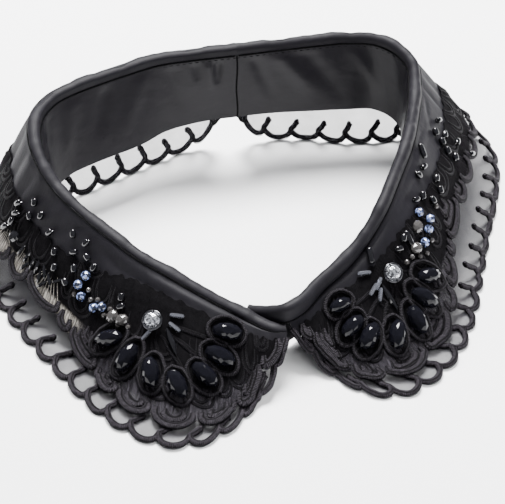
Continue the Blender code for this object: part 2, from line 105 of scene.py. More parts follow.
# One row for each section of a half, from the centre back to the front: the top of the fold and the
# tip of the hem (x, y and z of each), the share of the fall that lies on the table and how it bows,
# the binding's depth outside, and how far the stand leans
FOLD, HEM = slice(0, 3), slice(3, 6)
REST, BOW, STRIP, LEAN = 6, 7, 8, 9
RIGHT_SECTIONS = (
    (3.2, 56.7, 58.5, 5.0, 64.0, 20.0, 0.00, 1.00, 3.0, 0.0),
    (5.5, 56.8, 58.5, 8.5, 66.0, 9.0, 0.00, 1.00, 3.0, 0.0),
    (10.0, 57.0, 58.5, 16.0, 66.5, 2.0, 0.00, 1.00, 3.0, 0.0),
    (20.0, 57.4, 58.5, 31.0, 65.0, 0.0, 0.00, 1.00, 3.0, 0.6),
    (36.0, 57.8, 58.5, 48.0, 59.4, 0.0, 0.00, 1.00, 3.0, 2.5),
    (50.0, 57.8, 58.3, 65.0, 56.6, 0.0, 0.00, 1.00, 3.0, 3.5),
    (62.0, 55.3, 57.5, 83.0, 58.5, 0.0, 0.00, 1.00, 3.0, 2.0),
    (69.5, 49.0, 56.0, 98.5, 61.0, 0.0, 0.00, 1.00, 3.2, 1.2),
    (73.4, 41.5, 53.5, 108.5, 54.0, 0.0, 0.00, 1.00, 3.6, 1.2),
    (72.3, 32.0, 50.3, 111.0, 38.0, 0.0, 0.00, 1.00, 4.0, 2.0),
    (67.5, 15.5, 48.8, 105.5, 12.0, 0.0, 0.04, 1.02, 4.2, 3.0),
    (60.3, -3.3, 48.0, 95.0, -14.0, 0.0, 0.06, 1.05, 4.2, 3.0),
    (51.5, -19.2, 44.5, 85.2, -39.0, 0.0, 0.08, 1.08, 4.2, 3.0),
    (42.8, -33.0, 40.0, 75.0, -63.0, 0.0, 0.14, 1.15, 4.4, 2.5),
    (35.2, -40.6, 34.5, 64.0, -80.5, 0.0, 0.22, 1.25, 4.8, 2.0),
    (29.0, -45.3, 30.6, 52.5, -91.0, 0.0, 0.26, 1.30, 5.0, 1.5),
    (23.0, -49.5, 28.4, 40.0, -96.5, 0.0, 0.26, 1.30, 5.2, 1.0),
    (17.5, -53.0, 27.0, 28.0, -94.0, 0.0, 0.24, 1.30, 5.4, 1.0),
    (13.0, -56.5, 26.0, 19.5, -86.2, 0.0, 0.16, 1.20, 5.8, 1.0),
    (9.0, -60.5, 25.4, 12.8, -78.5, 2.0, 0.00, 1.05, 6.2, 1.0),
    (5.0, -63.4, 24.8, 7.5, -74.0, 7.0, 0.00, 1.00, 6.4, 1.0),
    (1.6, -64.7, 24.2, 3.0, -71.5, 12.5, 0.00, 1.00, 6.4, 1.0),
)
LEFT_SECTIONS = (
    (2.8, 56.7, 58.5, -3.0, 64.0, 20.0, 0.00, 1.00, 1.6, 0.0),
    (0.0, 56.6, 58.5, -6.0, 66.0, 9.0, 0.00, 1.00, 1.6, 0.0),
    (-6.0, 56.5, 58.5, -13.0, 65.8, 2.0, 0.00, 1.00, 1.6, 0.0),
    (-16.0, 56.3, 58.4, -23.0, 62.4, 0.0, 0.00, 1.00, 1.6, 1.0),
    (-30.0, 55.3, 58.2, -37.0, 55.5, 0.0, 0.00, 1.00, 1.6, 4.0),
    (-42.0, 51.5, 58.0, -50.0, 49.6, 0.0, 0.00, 1.00, 1.6, 7.2),
    (-54.0, 47.0, 57.8, -61.5, 43.6, 0.0, 0.00, 1.00, 1.6, 7.8),
    (-64.5, 42.6, 57.5, -72.0, 40.5, 0.0, 0.00, 1.00, 1.6, 7.8),
    (-74.0, 37.0, 56.8, -88.5, 45.5, 0.0, 0.00, 0.96, 1.6, 7.0),
    (-80.4, 29.0, 55.0, -103.0, 39.5, 0.0, 0.00, 0.94, 1.6, 5.0),
    (-82.3, 17.5, 52.0, -109.0, 20.0, 0.0, 0.05, 0.96, 1.6, 4.0),
    (-80.4, 7.0, 48.0, -110.5, 0.0, 0.0, 0.12, 1.05, 1.6, 3.0),
    (-75.5, -2.5, 42.5, -104.0, -20.0, 0.0, 0.18, 1.15, 1.6, 2.5),
    (-67.7, -13.5, 38.8, -95.3, -41.5, 0.0, 0.22, 1.22, 1.6, 2.0),
    (-57.5, -26.0, 35.5, -85.2, -62.0, 0.0, 0.26, 1.28, 1.6, 2.0),
    (-48.5, -36.0, 32.5, -74.5, -82.5, 0.0, 0.28, 1.32, 1.6, 2.0),
    (-40.0, -43.0, 30.0, -62.5, -98.0, 0.0, 0.28, 1.35, 1.6, 1.5),
    (-31.0, -50.0, 27.0, -49.5, -107.0, 0.0, 0.28, 1.35, 1.6, 1.0),
    (-23.0, -55.5, 24.0, -37.5, -108.0, 0.0, 0.26, 1.32, 1.6, 1.0),
    (-16.0, -60.0, 21.5, -27.0, -103.3, 0.0, 0.24, 1.25, 1.6, 1.0),
    (-10.5, -63.8, 19.8, -17.5, -95.0, 0.0, 0.14, 1.15, 1.6, 1.0),
    (-6.5, -67.0, 19.0, -9.5, -87.0, 3.0, 0.00, 1.05, 1.6, 1.0),
    (-3.0, -68.8, 18.5, -4.0, -79.5, 8.0, 0.00, 1.00, 1.6, 1.0),
    (0.3, -69.2, 18.0, -0.4, -75.0, 12.5, 0.00, 1.00, 1.6, 1.0),
)
# The top of the right fold past the centre front, where it tucks behind the left one
RIGHT_LAP = ((-3.4, -62.5, 22.2), (-7.4, -59.5, 20.0), (-11.6, -56.5, 19.0))

# Share along the hem, upper edge of the lace from the seam, and the tips of its scallops from the
# tips of the hem's
LACE_ROWS = {
    "right": (
        (0.27, 35.0, 17.0), (0.31, 22.0, 14.5), (0.37, 17.0, 17.0), (0.46, 16.0, 20.0),
        (0.55, 15.0, 20.8), (0.63, 12.0, 20.0), (0.69, 9.0, 12.5), (0.74, 7.5, 9.0),
        (0.80, 6.0, 7.0), (0.86, 5.0, 8.0), (0.93, 4.0, 7.2), (0.985, 2.5, 6.0),
    ),
    "left": (
        (0.27, 35.0, 17.0), (0.31, 22.0, 14.5), (0.40, 17.0, 15.0), (0.52, 16.0, 15.0),
        (0.61, 14.0, 17.0), (0.65, 12.0, 14.5), (0.70, 8.0, 10.5), (0.80, 6.0, 8.0),
        (0.88, 5.0, 6.2), (0.93, 4.0, 6.0), (0.985, 2.5, 6.0),
    ),
}
# Shares of the hem at the notches between the lace's scallops, which are of uneven width
LACE_NOTCHES = {
    "right": (
        0.270, 0.315, 0.367, 0.412, 0.463, 0.517, 0.558, 0.628, 0.650,
        0.690, 0.721, 0.788, 0.856, 0.897, 0.963, 0.985,
    ),
    "left": (
        0.270, 0.312, 0.360, 0.405, 0.441, 0.490, 0.536, 0.608, 0.635,
        0.696, 0.736, 0.786, 0.838, 0.887, 0.938, 0.985,
    ),
}
# Share of the fall's depth over which it takes up the direction of the cloth from that of the seam
SEAM_SHARE = 0.08
# Length that the creases' gaps are measured on, in shares of the hem's
CREASE_STRETCH = 0.84
# Least depth of the lace
LACE_LEAST = 4.0
# A lobe's edge falls back from its tip by this power of the share of its half width
LOBE_ROUNDNESS = 2.1
LACE_TOP_SHARE = 0.58


def spline(knots, rows, places):
    """A smooth curve through the rows at the knots, read at each of the places."""
    knots = np.asarray(knots, float)
    rows = np.asarray(rows, float)
    step = np.diff(knots)
    chord = np.diff(rows, axis=0) / step[:, None]
    slope = np.empty_like(rows)
    slope[0], slope[-1] = chord[0], chord[-1]
    weight = (step[1:] / (step[1:] + step[:-1]))[:, None]
    slope[1:-1] = weight * chord[:-1] + (1 - weight) * chord[1:]
    places = np.clip(np.asarray(places, float), knots[0], knots[-1])
    i = np.clip(np.searchsorted(knots, places, side="right") - 1, 0, len(step) - 1)
    h = step[i][:, None]
    t = ((places - knots[i]) / step[i])[:, None]
    return (
        rows[i] * (2 * t**3 - 3 * t**2 + 1)
        + rows[i + 1] * (3 * t**2 - 2 * t**3)
        + slope[i] * h * (t**3 - 2 * t**2 + t)
        + slope[i + 1] * h * (t**3 - t**2)
    )


def lengths(points):
    """Distance along a line of points, from its start to each."""
    return np.r_[0.0, np.cumsum(np.linalg.norm(np.diff(points, axis=0), axis=1))]


def unit(vectors):
    """Vectors brought to a length of 1."""
    return vectors / np.maximum(np.linalg.norm(vectors, axis=-1, keepdims=True), 1e-9)


def smooth(value):
    """0 below 0, 1 above 1, and a soft step between."""
    value = np.clip(value, 0.0, 1.0)
    return value * value * (3.0 - 2.0 * value)


# Soft troughs (depth above 0) and ridges (below 0) in the cloth, each a row of: from along, from down,
# to along, to down, width, depth. Along is a share, and the rest are millimetres.
FALL_CREASES = {
    "left": (
        (0.415, 3.0, 0.400, 26.0, 3.2, 0.75),
        (0.437, 2.0, 0.428, 22.0, 2.6, -0.50),
        (0.462, 4.0, 0.447, 19.0, 2.4, 0.60),
        (0.498, 2.0, 0.476, 15.0, 3.0, 0.55),
        (0.548, 2.5, 0.512, 14.0, 2.2, -0.40),
        (0.601, 3.0, 0.560, 11.0, 2.0, 0.40),
        (0.640, 6.0, 0.700, 9.5, 2.4, 0.45),
        (0.675, 7.0, 0.780, 8.0, 1.8, 0.40),
        (0.742, 4.5, 0.856, 3.6, 1.6, -0.35),
        (0.345, 3.0, 0.352, 30.0, 3.8, -0.80),
        (0.372, 5.0, 0.366, 33.0, 3.4, 0.80),
        (0.302, 4.0, 0.310, 27.0, 3.0, 0.60),
        (0.255, 6.0, 0.262, 30.0, 4.5, -0.60),
        (0.205, 4.0, 0.214, 24.0, 3.6, 0.65),
        (0.150, 8.0, 0.141, 29.0, 4.2, 0.50),
        (0.094, 5.0, 0.101, 22.0, 3.0, -0.45),
    ),
    "right": (
        (0.318, 3.0, 0.322, 28.0, 2.6, 0.70),
        (0.338, 2.0, 0.344, 31.0, 2.2, -0.55),
        (0.359, 4.0, 0.366, 26.0, 2.6, 0.65),
        (0.388, 2.0, 0.402, 19.0, 2.0, 0.50),
        (0.415, 3.5, 0.470, 8.0, 1.7, 0.45),
        (0.440, 7.0, 0.560, 5.0, 1.5, -0.35),
        (0.505, 3.2, 0.640, 3.0, 1.4, 0.40),
        (0.560, 8.0, 0.690, 6.4, 1.6, 0.35),
        (0.650, 3.0, 0.790, 2.6, 1.3, 0.35),
        (0.720, 5.2, 0.845, 4.0, 1.4, -0.30),
        (0.262, 5.0, 0.255, 31.0, 4.0, 0.60),
        (0.221, 4.0, 0.229, 25.0, 3.4, -0.50),
        (0.172, 7.0, 0.163, 28.0, 4.4, 0.60),
        (0.118, 4.0, 0.127, 24.0, 3.2, 0.45),
        (0.066, 7.0, 0.060, 26.0, 3.6, -0.40),
    ),
}
# The same on the stand, where down is measured from its top edge and a ridge stands into the neck
STAND_CREASES = {
    "left": (
        (0.030, 1.0, 0.034, 15.0, 1.5, 1.20),
        (0.052, 0.5, 0.046, 17.0, 1.8, -0.80),
        (0.076, 1.0, 0.070, 12.0, 1.6, 0.90),
        (0.118, 3.0, 0.104, 26.0, 3.0, 0.50),
        (0.160, 1.0, 0.215, 24.0, 3.6, -0.60),
        (0.235, 2.0, 0.270, 21.0, 3.2, 0.60),
        (0.300, 1.0, 0.345, 25.0, 3.8, -0.55),
        (0.372, 3.0, 0.400, 22.0, 3.0, 0.60),
        (0.455, 1.0, 0.520, 18.0, 3.0, 0.50),
        (0.590, 2.0, 0.650, 16.0, 3.4, -0.50),
        (0.730, 1.5, 0.790, 12.0, 2.6, 0.45),
    ),
    "right": (
        (0.022, 1.0, 0.060, 25.0, 2.6, 0.70),
        (0.060, 2.0, 0.125, 22.0, 3.4, -0.80),
        (0.105, 1.0, 0.180, 26.0, 3.8, 0.60),
        (0.200, 4.0, 0.262, 23.0, 3.0, -0.45),
        (0.290, 2.0, 0.318, 26.0, 2.8, 0.60),
        (0.370, 1.0, 0.392, 24.0, 2.6, 0.55),
        (0.470, 3.0, 0.520, 20.0, 3.2, -0.50),
        (0.620, 1.0, 0.680, 15.0, 2.8, 0.45),
        (0.760, 2.0, 0.820, 12.0, 2.6, -0.40),
    ),
}


def creased(creases, across, down):
    """How far the creases push each place out, from grids of millimetres across and down."""
    push = np.zeros(across.shape)
    total = across.max()
    for along, from_down, to_along, to_down, width, depth in creases:
        start = np.array([along * total, from_down])
        span = np.array([to_along * total, to_down]) - start
        t = ((across - start[0]) * span[0] + (down - start[1]) * span[1]) / (span @ span)
        held = np.clip(t, 0.0, 1.0)
        gap = np.hypot(across - start[0] - held * span[0], down - start[1] - held * span[1])
        fade = 1.0 - 0.55 * np.abs(2.0 * held - 1.0) ** 2
        push -= depth * fade * np.exp(-((gap / width) ** 2))
    return push


class Half:
    """One half of the collar: its folded edge, and its fall as a dense creased sheet."""

    ACROSS = 901
    DOWN = 121

    def __init__(self, side, sections, lap=()):
        self.side = side
        self.sign = 1.0 if side == "right" else -1.0
        self.rows = np.array(sections, float)
        for corner in (FOLD, HEM):
            self.rows[:, corner] -= (*PLAN_CENTRE, 0.0)
        self.knots = lengths(self.rows[:, HEM])
        self.hem_length = self.knots[-1]
        fold = np.c_[self.rows[:, FOLD], self.rows[:, [STRIP, LEAN]]]
        for x, y, z in lap:
            fold = np.vstack([fold, [x - PLAN_CENTRE[0], y - PLAN_CENTRE[1], z, *fold[-1, 3:]]])
        self.fold_rows = fold
        self.fold_knots = lengths(fold[:, :3])
        self.fold_length = self.fold_knots[-1]
        self.lay_out()

    def fold_at(self, places):
        """Top of the fold, its outward direction, the strip's depth and the stand's lean."""
        places = np.asarray(places)
        row, ahead, behind = (
            spline(self.fold_knots, self.fold_rows, places + step) for step in (0.0, 0.5, -0.5)
        )
        tangent = (ahead - behind)[:, :2]
        outward = unit(np.c_[-tangent[:, 1], tangent[:, 0], np.zeros(len(tangent))])
        return row[:, :3], outward * self.sign, row[:, 3], row[:, 4]

    def lay_out(self):
        """Works out the sheet: points, outward directions and lengths, stations by rows."""
        along = np.linspace(0.0, self.hem_length, self.ACROSS)
        marks = self.fold_knots[: len(self.knots), None]
        fold, outward, strip, _ = self.fold_at(spline(self.knots, marks, along)[:, 0])
        row = spline(self.knots, self.rows, along)
        hem, rest, bow = row[:, HEM], np.maximum(row[:, REST], 0.0), np.maximum(row[:, BOW], 0.5)
        hem_z = np.maximum(hem[:, 2], 0.0)
        start = fold + outward * (FOLD_RADIUS - BINDING_WALL)
        start[:, 2] -= strip + SEAM_GAP
        share = np.linspace(0.0, 1.0, self.DOWN)
        slope = np.clip(1.0 - share[None, :] / (1.0 - rest[:, None]), 0.0, 1.0) ** bow[:, None]
        points = np.empty((self.ACROSS, self.DOWN, 3))
        points[:, :, :2] = start[:, None, :2] + (hem - start)[:, None, :2] * share[None, :, None]
        points[:, :, 2] = hem_z[:, None] + (start[:, 2] - hem_z)[:, None] * slope
        step = np.linalg.norm(np.diff(points, axis=1), axis=2)
        gone = np.concatenate([np.zeros((self.ACROSS, 1)), np.cumsum(step, axis=1)], axis=1)
        self.reach = gone[:, -1]
        even = np.empty_like(points)
        for i in range(self.ACROSS):
            places = share * self.reach[i]
            for k in range(3):
                even[i, :, k] = np.interp(places, gone[i], points[i, :, k])
        # Near the seam the directions are the binding's
        top = smooth(share / SEAM_SHARE)[None, :, None]
        self.normals = unit(self.outward_of(even) * top + outward[:, None, :] * (1.0 - top))
        across = np.linspace(0.0, CREASE_STRETCH * self.hem_length, self.ACROSS)
        across = np.broadcast_to(across[:, None], gone.shape)
        down = share[None, :] * self.reach[:, None]
        push = creased(FALL_CREASES[self.side], across, down)
        # No creases at the seam or where the cloth lies on the table
        free = smooth(share / 0.05)[None, :] * smooth((even[:, :, 2] - 1.0) / 5.0)
        self.points = even + self.normals * (push * free)[:, :, None]
        bent = self.outward_of(self.points)
        self.normals = unit(bent * top + outward[:, None, :] * (1.0 - top))

    def outward_of(self, points):
        """Directions square to the sheet and away from the neck."""
        across = np.gradient(points, axis=0)
        down = np.gradient(points, axis=1)
        return unit(np.cross(across, down) * self.sign)

    def read(self, grid, along, share):
        """A value of the sheet between its own places, from shares along and down."""
        i = np.clip(np.asarray(along, float), 0.0, 1.0) * (self.ACROSS - 1)
        k = np.clip(np.asarray(share, float), 0.0, 1.0) * (self.DOWN - 1)
        i0 = np.minimum(i.astype(int), self.ACROSS - 2)
        k0 = np.minimum(k.astype(int), self.DOWN - 2)
        di, dk = (i - i0)[..., None], (k - k0)[..., None]
        return (
            grid[i0, k0] * (1 - di) * (1 - dk)
            + grid[i0 + 1, k0] * di * (1 - dk)
            + grid[i0, k0 + 1] * (1 - di) * dk
            + grid[i0 + 1, k0 + 1] * di * dk
        )

    def reach_at(self, along):
        """Depth of the fall from its seam to its hem, at shares along."""
        return np.interp(along, np.linspace(0.0, 1.0, self.ACROSS), self.reach)

    def place(self, along, down, lift=0.0):
        """Points over the sheet at shares along and millimetres down, lifted off it, and their normals."""
        along, down = np.broadcast_arrays(np.asarray(along, float), np.asarray(down, float))
        share = down / self.reach_at(along)
        here = self.read(self.points, along, share)
        out = unit(self.read(self.normals, along, share))
        return here + out * np.asarray(lift, float)[..., None], out

    def lace_edges(self, along):
        """Upper edge of the lace and the line of its scallops' tips, in millimetres down."""
        rows = np.array(LACE_ROWS[self.side])
        along = np.asarray(along, float)
        read = spline(rows[:, 0], rows[:, 1:], along.ravel())
        top, edge = (column.reshape(along.shape) for column in read.T)
        reach = self.reach_at(along)
        top = np.minimum(top, LACE_TOP_SHARE * reach)
        return top, reach - edge

    def over(self, x, y):
        """The share along and the distance down of the place over a point of the plan."""
        gaps = np.hypot(self.points[:, :, 0] - x, self.points[:, :, 1] - y)
        i, k = np.unravel_index(np.argmin(gaps), gaps.shape)
        return i / (self.ACROSS - 1), self.reach[i] * k / (self.DOWN - 1)


def scallop_inset(phase, depth):
    """How far a scalloped edge falls back from its tips; the phase is 0 at one notch, 1 at the next."""
    return depth * (1.0 - np.sqrt(np.maximum(0.0, 1.0 - (2.0 * phase - 1.0) ** 2)))


HALVES = {
    "left": Half("left", LEFT_SECTIONS),
    "right": Half("right", RIGHT_SECTIONS, RIGHT_LAP),
}


# Making meshes

# Edges that turn by more degrees than this are drawn sharp
SHARP_FROM = 50.0


def finished(name, mesh, material, slot, replaces=()):
    """A finished piece of the collar from its mesh."""
    mesh.materials.clear()
    mesh.materials.append(material)
    made = bpy.data.objects.new(name, mesh)
    bpy.context.scene.collection.objects.link(made)
    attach(made, BODY)
    if replaces:
        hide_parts(*replaces)
    return made


def mesh_from(name, points, faces, across=None):
    """A smooth mesh in metres; across holds two lengths for each point, kept as its UV map."""
    mesh = bpy.data.meshes.new(name)
    mesh.from_pydata((np.asarray(points) * MM).tolist(), [], [tuple(face) for face in faces])
    if across is not None:
        layer = mesh.uv_layers.new(name="UVMap")
        corners = np.empty(len(mesh.loops), np.int32)
        mesh.loops.foreach_get("vertex_index", corners)
        layer.data.foreach_set("uv", (np.asarray(across)[corners] * MM).astype(np.float32).ravel())
    mesh.shade_smooth()
    mesh.set_sharp_from_angle(angle=math.radians(SHARP_FROM))
    mesh.validate()
    return mesh


def shell(name, inner, outer, across, down):
    """A closed thin shell between two grids of points, with lengths across and down as its UV map."""
    stations, rows = inner.shape[:2]
    count = stations * rows
    index = np.arange(count).reshape(stations, rows)
    a, b = index[:-1, :-1].ravel(), index[1:, :-1].ravel()
    c, d = index[1:, 1:].ravel(), index[:-1, 1:].ravel()
    faces = [np.c_[a + count, b + count, c + count, d + count], np.c_[d, c, b, a]]
    for line, flip in ((index[:, 0], False), (index[:, -1], True), (index[0], True), (index[-1], False)):
        quad = np.c_[line[:-1], line[1:], line[1:] + count, line[:-1] + count]
        faces.append(quad[:, ::-1] if flip else quad)
    faces = np.vstack(faces)
    points = np.vstack([inner.reshape(-1, 3), outer.reshape(-1, 3)])
    middle = points.mean(axis=0)
    a, b, c, d = (points[faces[:, k]] - middle for k in range(4))
    if (np.cross(a, b) * c).sum() + (np.cross(a, c) * d).sum() < 0.0:
        faces = faces[:, ::-1]
    lay = np.c_[across.ravel(), down.ravel()]
    return mesh_from(name, points, faces.tolist(), np.vstack([lay, lay]))


def area_of(inner):
    """Area of a grid of points, in square metres."""
    a = inner[1:, :-1] - inner[:-1, :-1]
    b = inner[:-1, 1:] - inner[:-1, :-1]
    return float(np.linalg.norm(np.cross(a, b), axis=2).sum()) * MM * MM


# Narrowest strip that was cut, with its turned edge
NARROWEST_CUT = 10.2


def lay_cloth(name, node, walls, across, down, finish, slot, cut, rests_on=()):
    """One piece of cloth between two grids of points; how wide and deep it was cut is worked out but not
    used.
    """
    mesh = shell(node, *walls, across, down)
    piece = finished(name, mesh, finish_of(finish), slot, (node,))
    width, depth = cut
    flat = (float(width) * MM, max(float(depth), NARROWEST_CUT) * MM)
    area = min(area_of(walls[0]), flat[0] * flat[1])
    list(rests_on)
    return mesh


# Node trees


class Value:
    """A socket of a node tree that works in Python expressions."""

    def __init__(self, tree, socket):
        self.tree = tree
        self.socket = socket

    def __add__(self, other):
        return self.tree.math("ADD", self, other)

    def __radd__(self, other):
        return self.tree.math("ADD", other, self)

    def __sub__(self, other):
        return self.tree.math("SUBTRACT", self, other)

    def __rsub__(self, other):
        return self.tree.math("SUBTRACT", other, self)

    def __mul__(self, other):
        return self.tree.math("MULTIPLY", self, other)

    def __rmul__(self, other):
        return self.tree.math("MULTIPLY", other, self)

    def __truediv__(self, other):
        return self.tree.math("DIVIDE", self, other)

    def __rtruediv__(self, other):
        return self.tree.math("DIVIDE", other, self)

    def __pow__(self, other):
        return self.tree.math("POWER", self, other)

    def __rpow__(self, other):
        return self.tree.math("POWER", other, self)


class Tree:
    """The nodes of a material or of a modifier."""

    def __init__(self, tree):
        self.tree = tree
        tree.nodes.clear()

    def node(self, kind, settings=None, values=None, out=0):
        """Adds a node, sets it up, fills or links its sockets, and gives one output."""
        made = self.tree.nodes.new(kind)
        for key, value in (settings or {}).items():
            setattr(made, key, value)
        for key, value in (values or {}).items():
            socket = made.inputs[key]
            if isinstance(value, Value):
                self.tree.links.new(value.socket, socket)
            else:
                socket.default_value = value
        return Value(self, made.outputs[out])

    def math(self, operation, first, second=0.0):
        """A sum, product or other result of two values."""
        return self.node("ShaderNodeMath", {"operation": operation}, {0: first, 1: second})

    def vector_math(self, operation, first, second):
        """The same of two vectors."""
        return self.node("ShaderNodeVectorMath", {"operation": operation}, {0: first, 1: second})


# The colour sockets of a mix node, which shares their names with other kinds
MIX_COLORS = (6, 7)
MIX_RESULT = 2


class Finish(Tree):
    """A material with one Principled shader."""

    def __init__(self, name, color, roughness, **constants):
        self.material = bpy.data.materials.new(name)
        self.material.use_nodes = True
        super().__init__(self.material.node_tree)
        self.shader = self.tree.nodes.new("ShaderNodeBsdfPrincipled")
        output = self.tree.nodes.new("ShaderNodeOutputMaterial")
        self.tree.links.new(self.shader.outputs["BSDF"], output.inputs["Surface"])
        self.set("Base Color", (*color, 1.0))
        self.set("Roughness", roughness)
        for key, value in constants.items():
            self.set(key.replace("_", " "), value)

    def set(self, name, value):
        """Fills or links one socket of the shader."""
        socket = self.shader.inputs[name]
        if isinstance(value, Value):
            self.tree.links.new(value.socket, socket)
        else:
            socket.default_value = value

    def object_place(self, scale):
        """The piece's own coordinates, scaled on each axis."""
        here = self.node("ShaderNodeTexCoord", out="Object")
        return self.vector_math("MULTIPLY", here, scale)

    def cloth_place(self, scale):
        """The cloth's own lengths across and down, scaled on each."""
        here = self.node("ShaderNodeUVMap", {"uv_map": "UVMap"})
        return self.vector_math("MULTIPLY", here, (*scale, 1.0))

    def noise(self, place, detail=3.0, rough=0.5):
        """Soft noise about one unit of its place wide."""
        values = {"Vector": place, "Scale": 1.0, "Detail": detail, "Roughness": rough}
        return self.node("ShaderNodeTexNoise", {}, values)

    def attribute(self, name):
        """A value that the piece keeps at its points."""
        return self.node("ShaderNodeAttribute", {"attribute_name": name}, out="Fac")

    def clamp(self, value, low, high):
        """Turns low to high into 0 to 1."""
        values = {"Value": value, "From Min": low, "From Max": high}
        return self.node("ShaderNodeMapRange", {"clamp": True}, values)

    def mix(self, mask, first, second):
        """One colour where the mask is 0 and another where it is 1; each is fixed or made by nodes."""
        ends = (color if isinstance(color, Value) else (*color, 1.0) for color in (first, second))
        values = dict(zip(("Factor", *MIX_COLORS), (mask, *ends)))
        return self.node("ShaderNodeMix", {"data_type": "RGBA"}, values, out=MIX_RESULT)

    def bump(self, height, distance, strength=1.0):
        """Normals bent by a height that counts for a distance in metres."""
        values = {"Height": height, "Distance": distance, "Strength": strength}
        return self.node("ShaderNodeBump", {}, values)


class Group(Tree):
    """A geometry tree with named inputs."""

    def __init__(self, name, inputs):
        self.group = bpy.data.node_groups.new(name, "GeometryNodeTree")
        super().__init__(self.group)
        face = self.group.interface
        face.new_socket("Geometry", in_out="INPUT", socket_type="NodeSocketGeometry")
        face.new_socket("Geometry", in_out="OUTPUT", socket_type="NodeSocketGeometry")
        self.keys = {}
        for title, (kind, value) in inputs.items():
            socket = face.new_socket(title, in_out="INPUT", socket_type=kind)
            if value is not None:
                socket.default_value = value
            self.keys[title] = socket.identifier
        self.entry = self.tree.nodes.new("NodeGroupInput")
        self.exit = self.tree.nodes.new("NodeGroupOutput")

    def given(self, title):
        """One of the group's inputs."""
        return Value(self, self.entry.outputs[title])

    def named(self, attribute, kind="FLOAT"):
        """A value or vector that the points keep."""
        return self.node("GeometryNodeInputNamedAttribute", {"data_type": kind}, {"Name": attribute})

    def close(self, geometry):
        """Ends the tree: smooth or flat faces, everything realized, one material."""
        values = {"Geometry": geometry, "Shade Smooth": self.given("Smooth")}
        shown = self.node("GeometryNodeSetShadeSmooth", {}, values)
        real = self.node("GeometryNodeRealizeInstances", {}, {"Geometry": shown})
        values = {"Geometry": real, "Material": self.given("Material")}
        dressed = self.node("GeometryNodeSetMaterial", {}, values)
        self.tree.links.new(dressed.socket, self.exit.inputs["Geometry"])
        return self


COMMON_INPUTS = {"Smooth": ("NodeSocketBool", True), "Material": ("NodeSocketMaterial", None)}


def cord_group():
    """An embroidered cord along each line: an oval section turned to the cloth, scaled by its girth."""
    group = Group(
        "Embroidered cord",
        {
            "Width": ("NodeSocketFloat", 0.002),
            "Height": ("NodeSocketFloat", 0.0015),
            "Sides": ("NodeSocketInt", 8),
            **COMMON_INPUTS,
        },
    )
    line = group.node("GeometryNodeMeshToCurve", {}, {"Mesh": group.given("Geometry")})
    values = {"Curve": line, "Normal": group.named("up", "FLOAT_VECTOR")}
    line = group.node("GeometryNodeSetCurveNormal", {"mode": "FREE"}, values)
    values = {"Resolution": group.given("Sides"), "Radius": 0.5}
    ring = group.node("GeometryNodeCurvePrimitiveCircle", {}, values)
    oval = group.node(
        "ShaderNodeCombineXYZ", {}, {"X": group.given("Height"), "Y": group.given("Width"), "Z": 1.0}
    )
    ring = group.node("GeometryNodeTransform", {}, {"Geometry": ring, "Scale": oval})
    # turn, the place round the section, is what the threads' material uses to paint shade down each cord's
    # sides
    ring = group.node(
        "GeometryNodeStoreNamedAttribute",
        {"data_type": "FLOAT", "domain": "POINT"},
        {"Geometry": ring, "Name": "turn", "Value": group.node("GeometryNodeSplineParameter")},
    )
    body = group.node(
        "GeometryNodeCurveToMesh",
        {},
        {"Curve": line, "Profile Curve": ring, "Scale": group.named("girth"), "Fill Caps": True},
    )
    return group.close(body)


def turned(group, up, ahead):
    """A rotation that stands Z along up and points X as near ahead as it can."""
    kind = "FunctionNodeAlignRotationToVector"
    stood = group.node(kind, {"axis": "Z", "pivot_axis": "AUTO"}, {"Vector": up})
    return group.node(kind, {"axis": "X", "pivot_axis": "Z"}, {"Rotation": stood, "Vector": ahead})


def on_points(group, points, thing, ahead, size):
    """A copy of a thing on each point, stood on the cloth and pointed ahead."""
    if isinstance(ahead, str):
        ahead = group.named(ahead, "FLOAT_VECTOR")
    rotation = turned(group, group.named("up", "FLOAT_VECTOR"), ahead)
    values = {"Points": points, "Instance": thing, "Rotation": rotation, "Scale": size}
    return group.node("GeometryNodeInstanceOnPoints", {}, values)


def setting_group():
    """One bead or stone on each point, stood on the cloth and turned the way the point says."""
    group = Group(
        "Set stones",
        {
            "Stone": ("NodeSocketObject", None),
            "Size": ("NodeSocketFloat", 1.0),
            **COMMON_INPUTS,
        },
    )
    stone = group.node("GeometryNodeObjectInfo", {}, {"Object": group.given("Stone")}, out="Geometry")
    size = group.node(
        "ShaderNodeVectorMath",
        {"operation": "SCALE"},
        {0: group.named("size", "FLOAT_VECTOR"), "Scale": group.given("Size")},
    )
    return group.close(on_points(group, group.given("Geometry"), stone, "ahead", size))


def stitch_group():
    """A row of stitches: a short thread at even steps along each line."""
    group = Group(
        "Row of stitches",
        {
            "Pitch": ("NodeSocketFloat", 0.003),
            "Length": ("NodeSocketFloat", 0.0018),
            "Thread": ("NodeSocketFloat", 0.0004),
            **COMMON_INPUTS,
        },
    )
    line = group.node("GeometryNodeMeshToCurve", {}, {"Mesh": group.given("Geometry")})
    values = {"Curve": line, "Length": group.given("Pitch")}
    line = group.node("GeometryNodeResampleCurve", {"mode": "LENGTH"}, values)
    thread = group.node("GeometryNodeMeshUVSphere", {}, {"Segments": 6, "Rings": 5, "Radius": 0.5})
    size = group.node(
        "ShaderNodeCombineXYZ",
        {},
        {"X": group.given("Length"), "Y": group.given("Thread"), "Z": group.given("Thread")},
    )
    ahead = group.node("GeometryNodeInputTangent")
    return group.close(on_points(group, line, thread, ahead, size))


GROUP_MAKERS = {"cord": cord_group, "setting": setting_group, "stitch": stitch_group}
GROUPS = {}


